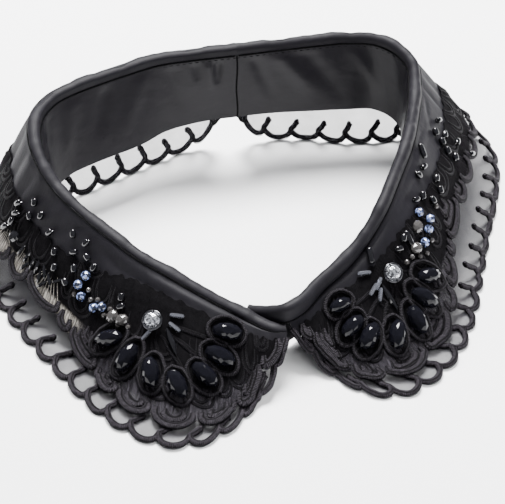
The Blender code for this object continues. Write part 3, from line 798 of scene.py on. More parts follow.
def grown(name, group_name, source, values):
    """Runs a geometry tree on a mesh and gives its result as a plain mesh."""
    if group_name not in GROUPS:
        GROUPS[group_name] = GROUP_MAKERS[group_name]()
    group = GROUPS[group_name]
    carrier = bpy.data.objects.new(name + "_lines", source)
    bpy.context.scene.collection.objects.link(carrier)
    modifier = carrier.modifiers.new(name, "NODES")
    modifier.node_group = group.group
    for title, value in values.items():
        modifier[group.keys[title]] = value
    carrier.update_tag()
    shown = carrier.evaluated_get(bpy.context.evaluated_depsgraph_get())
    mesh = bpy.data.meshes.new_from_object(shown)
    carrier.modifiers.clear()
    bpy.data.objects.remove(carrier)
    mesh.name = name
    if not mesh.polygons:
        raise RuntimeError(f"{name}: the tree made no faces")
    return mesh


def keep(mesh, title, kind, values):
    """Keeps a value or a vector for each point of a mesh."""
    layer = mesh.attributes.new(title, kind, "POINT")
    field = "vector" if kind == "FLOAT_VECTOR" else "value"
    layer.data.foreach_set(field, np.asarray(values, np.float32).ravel())


def line_mesh(name, lines):
    """A mesh of lines; each is its points, the cloth's direction at each point, and its girth there."""
    mesh = bpy.data.meshes.new(name)
    points, edges, ups, girths, runs = [], [], [], [], []
    for line, up, girth in lines:
        start = len(points)
        points.extend((line * MM).tolist())
        edges.extend((start + i, start + i + 1) for i in range(len(line) - 1))
        ups.append(np.asarray(up))
        girths.append(np.broadcast_to(girth, len(line)))
        runs.append(lengths(line) * MM)
    mesh.from_pydata(points, edges, [])
    for title, kind, values in (
        ("up", "FLOAT_VECTOR", np.vstack(ups)),
        ("girth", "FLOAT", np.concatenate(girths)),
        ("run", "FLOAT", np.concatenate(runs)),
    ):
        keep(mesh, title, kind, values)
    return mesh


def cords(name, lines, finish, slot, size, sides=8):
    """Embroidered cords along lines, as one piece; size is their width and height."""
    width, height = size
    material = finish_of(finish)
    values = {"Width": width * MM, "Height": height * MM, "Sides": sides, "Material": material}
    mesh = grown(name, "cord", line_mesh(name + "_path", lines), values)
    return finished(name, mesh, material, slot)


def point_mesh(name, places):
    """A mesh of points; each is its place, the cloth's direction, the way it is turned, and its size."""
    mesh = bpy.data.meshes.new(name)
    mesh.from_pydata([(np.asarray(here) * MM).tolist() for here, _, _, _ in places], [], [])
    for title, column in (("up", 1), ("ahead", 2), ("size", 3)):
        keep(mesh, title, "FLOAT_VECTOR", [row[column] for row in places])
    return mesh


def set_stones(name, places, stone_mesh, finish, slot, smooth_faces=False, replaces=()):
    """Sets a copy of one stone at each place, as one piece."""
    material = finish_of(finish)
    stone = bpy.data.objects.new(name + "_one", stone_mesh)
    bpy.context.scene.collection.objects.link(stone)
    values = {"Stone": stone, "Size": 1.0, "Smooth": smooth_faces, "Material": material}
    mesh = grown(name, "setting", point_mesh(name + "_places", places), values)
    bpy.data.objects.remove(stone)
    return finished(name, mesh, material, slot, replaces)


def stitches(name, lines, finish, slot, pitch, length, thread):
    """A row of stitches along each line, as one piece."""
    material = finish_of(finish)
    values = {"Pitch": pitch * MM, "Length": length * MM, "Thread": thread * MM, "Material": material}
    mesh = grown(name, "stitch", line_mesh(name + "_path", lines), values)
    return finished(name, mesh, material, slot)


def solid_of(name, loops, turns):
    """A closed solid through loops of corners, each loop turned by a share of a side."""
    bm = bmesh.new()
    loops = [[bm.verts.new(Vector(corner) * MM) for corner in loop] for loop in loops]
    bm.faces.new(loops[0][::-1])
    bm.faces.new(loops[-1])
    for low_turn, high_turn, low, high in zip(turns, turns[1:], loops, loops[1:]):
        for k in range(len(low)):
            after = (k + 1) % len(low)
            if low_turn == high_turn:
                bm.faces.new((low[k], low[after], high[after], high[k]))
            elif high_turn > low_turn:
                bm.faces.new((low[k], low[after], high[k]))
                bm.faces.new((low[after], high[after], high[k]))
            else:
                bm.faces.new((low[k], high[after], high[k]))
                bm.faces.new((low[k], low[after], high[after]))
    mesh = bpy.data.meshes.new(name)
    bm.to_mesh(mesh)
    bm.free()
    return mesh


def corners(sides, turn=0.0):
    """Cosine and sine of the direction to each corner of a ring."""
    for k in range(sides):
        angle = 2.0 * math.pi * (k + turn) / sides
        yield math.cos(angle), math.sin(angle)


def standing_stone(name, rings, sides, length, width, height):
    """A solid of rings up its Z, each a share of the full size, a level, and a turn."""
    loops = [
        [
            (0.5 * length * share * c, 0.5 * width * share * s, level * height)
            for c, s in corners(sides, turn)
        ]
        for share, level, turn in rings
    ]
    return solid_of(name, loops, [turn for _, _, turn in rings])


def lying_bead(name, rings, sides, length, width, height):
    """A solid of rings along its X, each a share of the width and a place along the length."""
    loops = [
        [
            (length * along, 0.5 * width * share * c, 0.5 * height * (1.0 + share * s))
            for c, s in corners(sides)
        ]
        for share, along in rings
    ]
    return solid_of(name, loops, [0.0] * len(rings))


# Materials


def shade(color, times):
    """A colour made that many times as bright."""
    return tuple(min(1.0, times * c) for c in color)


def satin_finish(colors):
    """Black duchess satin: fine threads down the cloth and slow changes of sheen."""
    finish = Finish("Black satin", colors.satin, 0.5, Specular_IOR_Level=0.16)
    threads = finish.noise(finish.cloth_place((9000.0, 900.0)), 2.0)
    slow = finish.noise(finish.cloth_place((60.0, 90.0)), 3.0)
    finish.set("Roughness", 0.52 + slow * 0.16 + threads * 0.05)
    tone = finish.mix(slow, shade(colors.satin, 0.7), shade(colors.satin, 1.4))
    finish.set("Base Color", tone)
    crush = finish.noise(finish.cloth_place((240.0, 130.0)), 4.0, 0.55)
    finish.set("Normal", finish.bump(threads * 0.12 + crush, 0.0003, 0.8))
    return finish


def lining_finish(colors):
    """The stand's smoother satin."""
    finish = Finish("Black satin lining", colors.lining, 0.4, Specular_IOR_Level=0.16)
    threads = finish.noise(finish.cloth_place((1400.0, 9000.0)), 2.0)
    slow = finish.noise(finish.cloth_place((45.0, 70.0)), 3.0)
    finish.set("Roughness", 0.32 + slow * 0.14 + threads * 0.05)
    crush = finish.noise(finish.cloth_place((120.0, 170.0)), 3.0, 0.5)
    finish.set("Normal", finish.bump(threads * 0.08 + crush, 0.0003, 0.8))
    return finish


def organza_finish(colors):
    """Sheer black organza: an even open weave."""
    finish = Finish("Black organza", colors.organza, 0.5, Specular_IOR_Level=0.1)
    warp, weft = (
        finish.node(
            "ShaderNodeTexWave",
            {"bands_direction": direction},
            {"Vector": finish.cloth_place(scale), "Scale": 0.35},
            out="Fac",
        )
        for direction, scale in (("X", (2200.0, 0.0)), ("Y", (0.0, 2200.0)))
    )
    slow = finish.noise(finish.cloth_place((80.0, 80.0)), 3.0)
    finish.set("Alpha", 0.25 + warp * 0.12 + weft * 0.08 + slow * 0.16)
    return finish


def net_finish(colors):
    """The lace's ground: dense over the satin, and beyond it sheer with stitches run outward; in the pale
    span its threads are painted light, a painted backlight for light seen through the sheer ground.
    """
    finish = Finish("Lace ground", colors.lace, 0.8, Specular_IOR_Level=0.03)
    open_share = finish.attribute("open")
    threads = finish.noise(finish.cloth_place((2600.0, 2600.0)), 2.0)
    patches = finish.noise(finish.cloth_place((230.0, 260.0)), 4.0, 0.6)
    runs = finish.noise(finish.cloth_place((1500.0, 160.0)), 2.0)
    lines = finish.clamp(runs, 0.42, 0.62)
    sheer = 0.22 + lines * 0.42 + finish.attribute("pale") * 0.3
    finish.set("Alpha", 1.0 - open_share * (1.0 - sheer))
    grey = finish.mix(lines, shade(colors.lace, 5.0), shade(colors.lace, 12.0))
    # Painted backlight: in the pale span the threads are painted light, standing in for light shining
    # through the sheer ground from behind
    painted_backlight_ivory = finish.mix(lines, shade(colors.painted_backlight_thread, 0.5), colors.painted_backlight_thread)
    pale = finish.mix(finish.attribute("pale"), grey, painted_backlight_ivory)
    dense = finish.mix(finish.clamp(patches, 0.3, 0.7), shade(colors.lace, 0.5), colors.lace)
    finish.set("Base Color", finish.mix(open_share, dense, pale))
    finish.set("Normal", finish.bump(threads * 0.6 + runs + patches * 1.5, 0.0004))
    return finish


# From one stitch to the next along a satin-stitched cord, in metres
STITCH_STEP = 0.0006


def thread_finish(name, color, roughness=0.7, painted_glint=4.4, gloss=0.06):
    """Satin-stitch thread: stitches side by side across each cord, with painted shade toward its foot and a
    painted highlight on the stitches' ridges along its top.
    """
    finish = Finish(name, color, roughness, Specular_IOR_Level=gloss)
    run, turn = finish.attribute("run"), finish.attribute("turn")
    wander = finish.noise(finish.object_place((700.0, 700.0, 700.0)), 2.0)
    lay = finish.math("SINE", run * (2.0 * math.pi / STITCH_STEP) + turn * 5.0 + wander * 5.0)
    speckle = finish.noise(finish.object_place((1500.0, 1500.0, 1500.0)), 2.0)
    ridge = lay * 0.3 + speckle * 1.6 - 0.3
    light = shade(color, painted_glint)
    dark = shade(color, 0.3)
    # Painted light: near black down the cord's sides as painted shade where cords meet, and up to a painted
    # highlight on the stitches' ridges and grain along its top
    painted_light_crown = finish.clamp(finish.math("COSINE", turn * (2.0 * math.pi)), 0.0, 0.4)
    finish.set("Base Color", finish.mix(finish.clamp(ridge, 0.15, 1.0) * painted_light_crown, dark, light))
    finish.set("Normal", finish.bump(ridge, 0.00034))
    return finish


def painted_sparkle_opal_finish(colors):
    """Bluish-white faceted beads, with painted highlights: bright spots and near-black between them."""
    finish = Finish("Opal beads", colors.opal, 0.08, Coat_Weight=1.0, Coat_Roughness=0.03)
    # Painted highlight: noise lays bright spots of the beads' blue over near-black, standing in for sparkle
    tint = finish.noise(finish.object_place((800.0, 800.0, 800.0)), 1.0)
    dark = shade(colors.opal, 0.05)
    finish.set("Base Color", finish.mix(finish.clamp(tint, 0.48, 0.62), dark, colors.opal))
    return finish


def rhinestone_finish(colors):
    """Clear cut glass, with painted sparkle: small bright and dark spots of reflection painted within each
    facet.
    """
    finish = Finish("Clear rhinestone", colors.rhinestone, 0.06, Metallic=0.85)
    painted_glints_and_bumps = finish.noise(finish.object_place((1400.0, 1400.0, 1400.0)), 2.0)
    dark = shade(colors.rhinestone, 0.16)
    # Painted reflection: the noise paints bright and dark spots into the colour, and also bumps the facets
    finish.set("Base Color", finish.mix(finish.clamp(painted_glints_and_bumps, 0.42, 0.56), dark, colors.rhinestone))
    finish.set("Normal", finish.bump(painted_glints_and_bumps, 0.00025))
    return finish


def floor_finish(colors):
    """A pale matt floor with a faint grain."""
    finish = Finish("Pale floor", colors.floor, 0.85)
    grain = finish.noise(finish.object_place((9.0, 9.0, 9.0)), 3.0)
    finish.set("Base Color", finish.mix(grain, shade(colors.floor, 0.98), colors.floor))
    return finish


FINISHES = {
    "satin": satin_finish,
    "lining": lining_finish,
    "organza": organza_finish,
    "net": net_finish,
    # After a thread's colour: its roughness, the strength of its painted highlight, and its gloss
    "thread": lambda colors: thread_finish("Charcoal thread", colors.thread),
    "hem_thread": lambda colors: thread_finish("Hem thread", colors.hem_thread),
    "ring_thread": lambda colors: thread_finish("Ring thread", colors.ring_thread),
    # The painted backlight thread: a light colour standing in for light seen through the rear lobes
    "painted_backlight_thread": lambda colors: thread_finish("Pale thread", colors.painted_backlight_thread, 0.6, 1.3),
    "dark_thread": lambda colors: thread_finish("Dark thread", colors.dark_thread, 0.6, 1.7, 0.05),
    "piping": lambda colors: thread_finish("Black piping", colors.piping, 0.6, 1.6),
    "crystal": lambda colors: Finish("Black crystal", colors.crystal, 0.03, Specular_IOR_Level=0.2),
    "jet": lambda colors: Finish("Jet bead", colors.jet, 0.07, IOR=1.6),
    "rhinestone": rhinestone_finish,
    "setting": lambda colors: Finish("Dark metal setting", colors.setting, 0.28, Metallic=1.0),
    "opal": painted_sparkle_opal_finish,
    "smoky": lambda colors: Finish("Smoky clear bead", colors.smoky, 0.05, Metallic=0.25, IOR=1.75),
    "silver": lambda colors: Finish("Silver bugle", colors.silver, 0.12, Metallic=0.9),
    "floor": floor_finish,
}
MADE_FINISHES = {}


def finish_of(kind):
    """The material of this kind, made once."""
    if kind not in MADE_FINISHES:
        MADE_FINISHES[kind] = FINISHES[kind](bpy.context.scene.collar_colors).material
    return MADE_FINISHES[kind]


# Stand and binding


# Half of the room between the solids of the two halves at centre back
BACK_ROOM = 0.21
STAND_STATIONS = 321
STAND_ROWS = 41
# Least and most that the creases push the stand's cloth into the neck
STAND_PUSH = (-1.0, 1.3)


def join_back(wall, first, second):
    """Takes the first station back to the middle, where the two halves are sewn together."""
    wall[0] += (wall[0] - wall[1]) / max(np.linalg.norm(first - second), 1e-6) * BACK_ROOM
    return wall


def make_stand(side, thickness):
    """The lining inside the neck, from the binding to its foot just off the table."""
    half = HALVES[side]
    places = np.linspace(0.0, half.fold_length, STAND_STATIONS)
    fold, outward, _, lean = half.fold_at(places)
    foot = np.minimum(STAND_HEIGHT, fold[:, 2] - STAND_FOOT)
    shares = np.linspace(0.0, 1.0, STAND_ROWS)
    start = BINDING_DROP + SEAM_GAP
    depth = start + shares * (foot[:, None] - start)
    across = np.broadcast_to(places[:, None], depth.shape)
    push = np.clip(creased(STAND_CREASES[side], across, depth), *STAND_PUSH) * smooth(shares / 0.14)
    walls = []
    for radius in (FOLD_RADIUS - thickness, FOLD_RADIUS):
        reach = radius + lean[:, None] * shares + push
        wall = fold[:, None, :] - outward[:, None, :] * reach[:, :, None]
        wall[:, :, 2] -= depth
        walls.append(join_back(wall, fold[0], fold[1]))
    names = f"Stand-lining.{side}", f"stand_lining_{side}"
    size = (half.fold_length, (foot - start).max())
    lay_cloth(*names, walls, across, depth, "lining", "lining", size)


BINDING_STATIONS = 421
# Least depth of the strip outside
LEAST_STRIP = 0.4


def binding_profile(strip, radius):
    """Cross-section of the folded strip: distances outward and up from the top of the fold."""
    drop = min(strip, FOLD_RADIUS)
    angle = np.radians(np.linspace(180.0, 0.0, 15))
    inside = np.linspace(-BINDING_DROP, -drop, 6)[:-1]
    foot = -max(strip, drop + 0.15)
    outside = np.linspace(-drop, foot, 7)[1:]
    swell = 0.28 * np.sin(np.pi * np.linspace(0.0, 1.0, 8)[1:]) * min(1.0, (-foot - drop) / 3.0)
    out = np.r_[np.full(5, -radius), radius * np.cos(angle), radius + swell[1:]]
    up = np.r_[inside, (np.sin(angle) - 1.0) * drop - (FOLD_RADIUS - radius) * np.sin(angle), outside]
    return out, up


def make_binding(side, thickness):
    """The strip folded over the neck edge."""
    half = HALVES[side]
    places = np.linspace(0.0, half.fold_length, BINDING_STATIONS)
    fold, outward, strip, _ = half.fold_at(places)
    # Soft uneven swellings where the strip was turned over
    pucker = (
        0.22 * np.sin(places * 0.21 + 0.4)
        + 0.12 * np.sin(places * 0.47 + 2.1 + np.sin(places * 0.11))
        + 0.05 * np.sin(places * 1.13 + 1.0)
        - 0.15
    )
    walls = []
    for inset in (thickness, 0.0):
        wall = []
        for top, out, depth, soft in zip(fold, outward, np.maximum(strip, LEAST_STRIP), pucker):
            reach, up = binding_profile(depth, FOLD_RADIUS - inset)
            loose = np.sin(np.pi * np.linspace(0.0, 1.0, len(reach)))
            reach = reach + np.sign(reach) * loose * soft
            line = top + out * reach[:, None]
            line[:, 2] += up + loose * soft
            wall.append(line)
        walls.append(join_back(np.array(wall), fold[0], fold[1]))
    down = np.array([lengths(line) for line in walls[1]])
    across = np.broadcast_to(places[:, None], down.shape)
    names = f"Neck-binding.{side}", f"neck_binding_{side}"
    size = (half.fold_length, down.max())
    lay_cloth(*names, walls, across, down, "satin", "satin", size, [f"Stand-lining.{side}"])


# Width and height of the piping, of the seam at centre back and of loose thread ends
PIPING_SIZE = (0.8, 0.8)
BACK_SEAM_SIZE = (0.7, 0.5)
LOOSE_END_SIZE = (0.14, 0.14)
# The piping outside on the left is drawn thinner, by this much
THIN_PIPING = 0.8
# The row of stitches: its distance below the piping, and each stitch's pitch, length and thickness
STITCHES_BELOW = 1.1
STITCH_SIZES = (2.6, 1.7, 0.28)


def seam_lines(half):
    """The piping inside the neck and outside below the strip, as lines with the cloth's direction."""
    places = np.linspace(0.6, half.fold_length - 0.6, 300)
    fold, outward, strip, _ = half.fold_at(places)
    inside = fold - outward * (FOLD_RADIUS + 0.05)
    inside[:, 2] -= BINDING_DROP + 0.5 * SEAM_GAP
    outside = fold + outward * (FOLD_RADIUS + 0.05)
    outside[:, 2] -= np.maximum(strip, LEAST_STRIP) + 0.5 * SEAM_GAP + 0.1
    return (inside, -outward), (outside, outward)


def sew_binding(side):
    """The piping along both seams of the binding, and a row of stitches inside."""
    inside, outside = seam_lines(HALVES[side])
    lines = [(*inside, 1.0), (*outside, 1.0 if side == "right" else THIN_PIPING)]
    cords(f"Neck-piping.{side}", lines, "piping", "satin", PIPING_SIZE)
    below, up = inside
    sewn = [(below - (0.0, 0.0, STITCHES_BELOW) + up * 0.02, up, 1.0)]
    stitches(f"Neck-stitches.{side}", sewn, "piping", "satin", *STITCH_SIZES)


def back_seam():
    """The seam that joins the halves inside the neck, from the binding to the foot of the stand."""
    lines = []
    for half in HALVES.values():
        fold, outward, _, lean = half.fold_at(np.zeros(1))
        share = np.linspace(0.0, 1.0, 24)
        down = BINDING_DROP + SEAM_GAP + share * (STAND_HEIGHT - BINDING_DROP - SEAM_GAP)
        line = fold - outward * (FOLD_RADIUS + 0.1 + lean[:, None] * share[:, None])
        line[:, 2] -= down
        lines.append(line)
    line = 0.5 * (lines[0] + lines[1])
    line[:, 0] += 0.25 * np.sin(np.linspace(0.0, 9.0, len(line)))
    return line, np.tile((0.0, -1.0, 0.0), (len(line), 1))


# The fall


FALL_STATIONS = 481
FALL_ROWS = 49
# Height of the satin's face off the fall's own surface
SATIN_FACE = SATIN_WALL - 0.05


def cloth_grid(half, along, downs, low, high):
    """Two grids of points over the fall, stations by rows, kept above the table."""
    along = np.broadcast_to(np.asarray(along)[:, None], downs.shape)
    here, normal = half.place(along, downs)
    walls = []
    for lift, above in ((low, 0.03), (high, 0.06)):
        wall = here + normal * np.broadcast_to(lift, downs.shape)[:, :, None]
        wall[:, :, 2] = np.maximum(wall[:, :, 2], above)
        walls.append(wall)
    return walls, along * half.hem_length


def ripple(half, along, down):
    """Small waves of the free organza, above the cloth's own form."""
    share = np.asarray(down) / half.reach_at(along)
    place = np.asarray(along) * half.hem_length
    wave = 0.5 + 0.28 * np.sin(place * 0.29 + 0.6) + 0.22 * np.sin(place * 0.67 + 2.0 + 3.0 * share)
    return 0.55 * wave * smooth((share - SATIN_SHARE) / (0.85 - SATIN_SHARE))


def make_fall(side, thickness):
    """The opaque upper part of the fall."""
    half = HALVES[side]
    along = np.linspace(0.0, 1.0, FALL_STATIONS)
    downs = np.linspace(0.0, SATIN_SHARE, FALL_ROWS)[None, :] * half.reach_at(along)[:, None]
    walls, across = cloth_grid(half, along, downs, SATIN_FACE - thickness, SATIN_FACE)
    names = f"Satin-fall.{side}", f"fall_satin_{side}"
    size = (half.hem_length, downs.max())
    lay_cloth(*names, walls, across, downs, "satin", "satin", size, [f"Neck-binding.{side}"])


# How far the bars lean toward the scallop's middle, and how much they bend: by 1 they are straight
HOOK_LEAN = {"left": 2.4, "right": 2.9}
HOOK_BEND = {"left": 1.7, "right": 1.0}
# Depth of the hem's scallops, and how far from the edge a bar's direction is taken
HEM_DEPTH = 5.0
BAR_REACH = 4.0
# Girths of a bar from its inner end, which is a thicker knot
KNOT_GIRTHS = (0.8, 1.14, 1.2, 1.14)
HEM_CORD_HEIGHT = 1.9
SCALLOP_STEPS = 18
ORGANZA_ROWS = 23
LOOSE_ENDS = 520
# How far the organza is sewn in under the satin, and its height off the fall's own surface
UNDER_SATIN = 4.0
ORGANZA_LIFT = 0.12


def scallops(half):
    """How many scallops the hem has."""
    return round(half.hem_length / SCALLOP_PITCH)


def hem_edge(half, along):
    """Distance down to the organza's scalloped edge."""
    phase = np.mod(np.asarray(along) * scallops(half), 1.0)
    reach = half.reach_at(along)
    return reach - scallop_inset(phase, np.minimum(HEM_DEPTH, 0.35 * reach))


def scallop_steps(count, steps):
    """Shares along with closely set steps in each of a number of scallops."""
    phase = 0.5 - 0.5 * np.cos(np.pi * np.arange(steps) / steps)
    return np.r_[(np.arange(count)[:, None] + phase).ravel() / count, 1.0]


def make_organza(side, thickness):
    """The sheer lower part of the fall, sewn under the satin and cut in scallops."""
    half = HALVES[side]
    along = scallop_steps(scallops(half), SCALLOP_STEPS)
    edge = hem_edge(half, along)
    top = SATIN_SHARE * half.reach_at(along) - UNDER_SATIN
    downs = top[:, None] + np.linspace(0.0, 1.0, ORGANZA_ROWS)[None, :] * (edge - top)[:, None]
    place = np.broadcast_to(along[:, None], downs.shape)
    lift = ORGANZA_LIFT + ripple(half, place, downs)
    walls, across = cloth_grid(half, along, downs, lift, lift + thickness)
    names = f"Organza-hem.{side}", f"organza_hem_{side}"
    size = (half.hem_length, (downs.max(axis=1) - downs.min(axis=1)).max())
    lay_cloth(*names, walls, across, downs, "organza", "organza", size, [f"Satin-fall.{side}"])


def on_hem(half, along, down, lift):
    """A line on the organza."""
    line, up = half.place(along, down, lift + ORGANZA_LIFT + ripple(half, along, down))
    line[:, 2] = np.maximum(line[:, 2], lift)
    return line, up


def hem_lines(half, width, bar_length, random):
    """The embroidered edge: from each notch a bar run inward, bent over, then out and round its scallop."""
    count = scallops(half)
    lines = []
    for n in range(count):
        notch = n / count
        edge_here = float(hem_edge(half, notch)) - 0.5 * width
        size = bar_length * random.uniform(0.86, 1.1)
        lean = HOOK_LEAN[half.side] * random.uniform(0.6, 1.25)
        share = np.linspace(1.0, 0.0, 11)
        # The fall's own lines run aslant of the hem here, and the bars don't
        near, far = (half.place(notch, edge_here - gone)[0] for gone in (0.0, BAR_REACH))
        steps = (0.5 / half.hem_length, -0.5 / half.hem_length)
        ahead, behind = (half.place(notch + step, edge_here)[0] for step in steps)
        slant = (far - near) @ unit(ahead - behind) / BAR_REACH
        down = edge_here - size * np.sin(0.5 * math.pi * share)
        aside = lean * share ** HOOK_BEND[half.side] + 0.35 * width * smooth(share / 0.3)
        aside -= slant * (edge_here - down)
        bar = notch + aside / half.hem_length
        phase = 0.5 - 0.5 * np.cos(math.pi * np.linspace(0.06, 1.0, 17))
        scallop = (n + phase) / count
        edge = hem_edge(half, np.minimum(scallop, (n + 0.9999) / count)) - 0.5 * width
        where = np.r_[bar, scallop] if n else scallop
        deep = np.r_[down, edge] if n else edge
        line, up = on_hem(half, where, deep, 0.95)
        girth = 1.0 + 0.05 * np.sin(np.arange(len(where)) * 1.3 + n)
        if n:
            girth[: len(KNOT_GIRTHS)] = KNOT_GIRTHS
        girth[-1] = 0.8
        lines.append((line, up, girth))
    return lines


def fuzz_lines(half, random, count):
    """Loose thread ends standing from the embroidered hem."""
    lines = []
    for _ in range(count):
        along = random.uniform(0.02, 0.98)
        down = float(hem_edge(half, along)) - random.uniform(0.0, 2.6)
        size = random.uniform(0.6, 1.7)
        turn = random.uniform(0.0, 2.0 * math.pi)
        share = np.linspace(0.0, 1.0, 4)
        where = along + size * share * math.cos(turn) / half.hem_length
        out, up = on_hem(half, where, down + size * share * math.sin(turn), 1.1)
        out = out + up * (random.uniform(0.3, 1.0) * share * (1.6 - share))[:, None]
        lines.append((out, up, np.array([1.0, 0.9, 0.7, 0.4])))
    return lines


def make_hem(side, width, bar_length):
    """The embroidered edge of the organza, with its loose thread ends."""
    half = HALVES[side]
    random = Random(5 if side == "left" else 7)
    lines = hem_lines(half, width, bar_length, random)
    cords(f"Hem-cord.{side}", lines, "hem_thread", "organza", (width, HEM_CORD_HEIGHT), 10)
    loose = fuzz_lines(half, random, LOOSE_ENDS)
    cords(f"Hem-fuzz.{side}", loose, "hem_thread", "organza", LOOSE_END_SIZE, 3)


# Lace


def lace_notches(half):
    """Shares along of the notches in the lace's edge, and the depth of each."""
    notches = np.array(LACE_NOTCHES[half.side])
    widths = np.diff(notches) * half.hem_length
    narrower = np.minimum(np.r_[widths[0], widths], np.r_[widths, widths[-1]])
    return notches, np.minimum(LACE_DEPTH_SHARE * narrower, LACE_DEPTH)


def lace_edge(half, along):
    """Upper edge and scalloped lower edge of the lace, in millimetres down."""
    notches, depths = lace_notches(half)
    along = np.clip(np.asarray(along, float), notches[0], notches[-1])
    n = np.clip(np.searchsorted(notches, along, side="right") - 1, 0, len(notches) - 2)
    phase = (along - notches[n]) / (notches[n + 1] - notches[n])
    depth = depths[n] + phase * (depths[n + 1] - depths[n])
    inset = depth * np.abs(2.0 * phase - 1.0) ** LOBE_ROUNDNESS
    top, tips = half.lace_edges(along)
    return top, np.maximum(tips - inset, top + LACE_LEAST)


def lace_steps(half, steps):
    """Shares along, closely set in each scallop of the lace."""
    notches, _ = lace_notches(half)
    phase = 0.5 - 0.5 * np.cos(np.pi * np.arange(steps) / steps)
    return np.r_[(notches[:-1, None] + phase * np.diff(notches)[:, None]).ravel(), notches[-1]]


LOBE_STEPS = 24
LACE_GROUND_ROWS = 31
# Height of the lace's face off the fall's own surface, how much lower it is sewn along its top, and
# over what depth it comes up from there
LACE_FACE = 2.4
LACE_SINK = 0.75
SINK_DEPTH = 7.0
# Where along each half the ground beyond the satin is painted pale, as painted backlight; on the right it
# is grey throughout
PAINTED_BACKLIGHT_SPAN = {"left": (0.33, 0.66), "right": (0.27, 0.27)}


def make_lace(side, thickness):
    """The lace's ground, which keeps for its material where it is sheer and where it is painted pale as
    painted backlight.
    """
    half = HALVES[side]
    along = lace_steps(half, LOBE_STEPS)
    top, low = lace_edge(half, along)
    place = along * half.hem_length
    # The top edge is cut unevenly, just inside the solid's
    top = top + 0.9 + 0.5 * np.sin(place * 0.62) + 0.35 * np.sin(place * 1.13 + 1.3)
    downs = top[:, None] + np.linspace(0.0, 1.0, LACE_GROUND_ROWS)[None, :] * (low - 0.4 - top)[:, None]
    face = lace_face(half, np.broadcast_to(along[:, None], downs.shape), downs)
    walls, across = cloth_grid(half, along, downs, face - thickness, face)
    names = f"Lace-ground.{side}", f"lace_applique_{side}"
    size = ((along[-1] - along[0]) * half.hem_length, (downs.max(axis=1) - downs.min(axis=1)).max())
    mesh = lay_cloth(*names, walls, across, downs, "net", "lace", size, [f"Satin-fall.{side}"])
    beyond = smooth((downs / half.reach_at(along)[:, None] - SATIN_SHARE + 0.02) / 0.03)
    # The span of painted backlight, where the ground is painted pale
    first, last = PAINTED_BACKLIGHT_SPAN[side]
    pale = smooth((along - first) / 0.04) * smooth((last - along) / 0.04)
    for title, values in (("open", beyond), ("pale", np.broadcast_to(pale[:, None], downs.shape))):
        keep(mesh, title, "FLOAT", [values, values])


# Width and height of each kind of embroidery; the rim's width is a user's
RIM_HEIGHT = 1.7
BAND_SIZE = (3.3, 0.95)
VEIN_SIZE = (0.45, 0.3)
PETAL_SIZE = (1.3, 0.55)
RING_SIZE = (1.9, 2.2)
LEAF_SIZE = (2.0, 0.7)


def lace_face(half, along, down):
    """Height of the lace's face off the fall: sewn down flat along its upper edge."""
    top, _ = lace_edge(half, along)
    return LACE_FACE - LACE_SINK * (1.0 - smooth((np.asarray(down) - top) / SINK_DEPTH))


def cloth_top(half, along, down):
    """Height of the uppermost cloth at a place of the fall."""
    top, _ = lace_edge(half, along)
    notches, _ = lace_notches(half)
    on_lace = (down > top) & (along > notches[0])
    return np.where(on_lace, lace_face(half, along, down), SATIN_FACE)


# A petal's cup: its turn to each side in radians, where its legs begin, its height, and their length
CUP_TURN = 1.7
LEGS_FROM = 0.9
CUP_HEIGHT = 5.2
CUP_LEGS = 2.5


def cup(half, middle, bottom, wide):
    """A cup-shaped line of embroidery, open toward the neck: shares along and distances down."""
    angle = np.linspace(-CUP_TURN, CUP_TURN, 27)
    down = bottom - CUP_HEIGHT * (1.0 - np.cos(angle))
    past = np.maximum(np.abs(angle) - LEGS_FROM, 0.0) / (CUP_TURN - LEGS_FROM)
    return middle + wide * np.sin(angle) / half.hem_length, down - CUP_LEGS * past**1.5


# Middles of the rim and of the bands inside a lobe's edge; the rear lobes, up to a share along, have
# fine veins instead of bands
RIM_INSET = 1.7
BAND_INSETS = (5.3, 8.9, 12.5)
# Least half width that a lobe has left inside a band
BAND_ROOM = 0.9
# How far the middle of each kind stands off the lace's face
RIM_LIFT, BAND_LIFT, VEIN_LIFT, PETAL_LIFT, RING_LIFT, LEAF_LIFT = 0.5, 0.16, 0.08, 0.02, 0.5, 0.1
VEINED_TO = {"left": 0.62, "right": 0.50}
# On the left the veins are in the painted backlight thread, painted light for light seen through the rear
# lobes
VEIN_THREAD = {"left": "painted_backlight_thread", "right": "thread"}
VEINS = 9
# Petals: rows of them at most, from row to row, and the least room for one more
PETAL_ROWS = 3
PETAL_PITCH = 7.8
PETAL_ROOM = 5.0


def on_lace(half, along, down, lift):
    """Points on the lace, and their normals."""
    return half.place(along, down, lace_face(half, along, down) + lift)


def lobe_ring(half, first, last, inset, legs):
    """A line that far inside one lobe's edge, from leg to leg: shares along and distances down."""
    width = (last - first) * half.hem_length
    middle = 0.5 * (first + last)
    start, tip, end = lace_edge(half, np.array([first + 1e-4, middle, last - 1e-4]))[1]
    bulge = max(tip - 0.5 * (start + end), 0.6)
    radius = max((0.25 * width**2 + bulge**2) / (2.0 * bulge), 0.5 * width)
    turn = math.asin(min(1.0, (0.5 * width - inset) / (radius - inset)))
    angle = np.linspace(-turn, turn, 19)
    aside = (radius - inset) * np.sin(angle)
    down = bulge - radius + (radius - inset) * np.cos(angle)
    # The legs, which draw together toward the neck; then all corners are softened
    leg = legs * np.linspace(1.0, 0.2, 5)
    aside = np.r_[aside[0] + 0.12 * leg, aside, aside[-1] - 0.12 * leg[::-1]]
    down = np.r_[down[0] - leg, down, down[-1] - leg[::-1]]
    for line in (aside, down, aside, down, aside, down):
        line[1:-1] = 0.25 * line[:-2] + 0.5 * line[1:-1] + 0.25 * line[2:]
    chord = 0.5 * (start + end) + (end - start) * aside / width
    return middle + aside / half.hem_length, chord + down


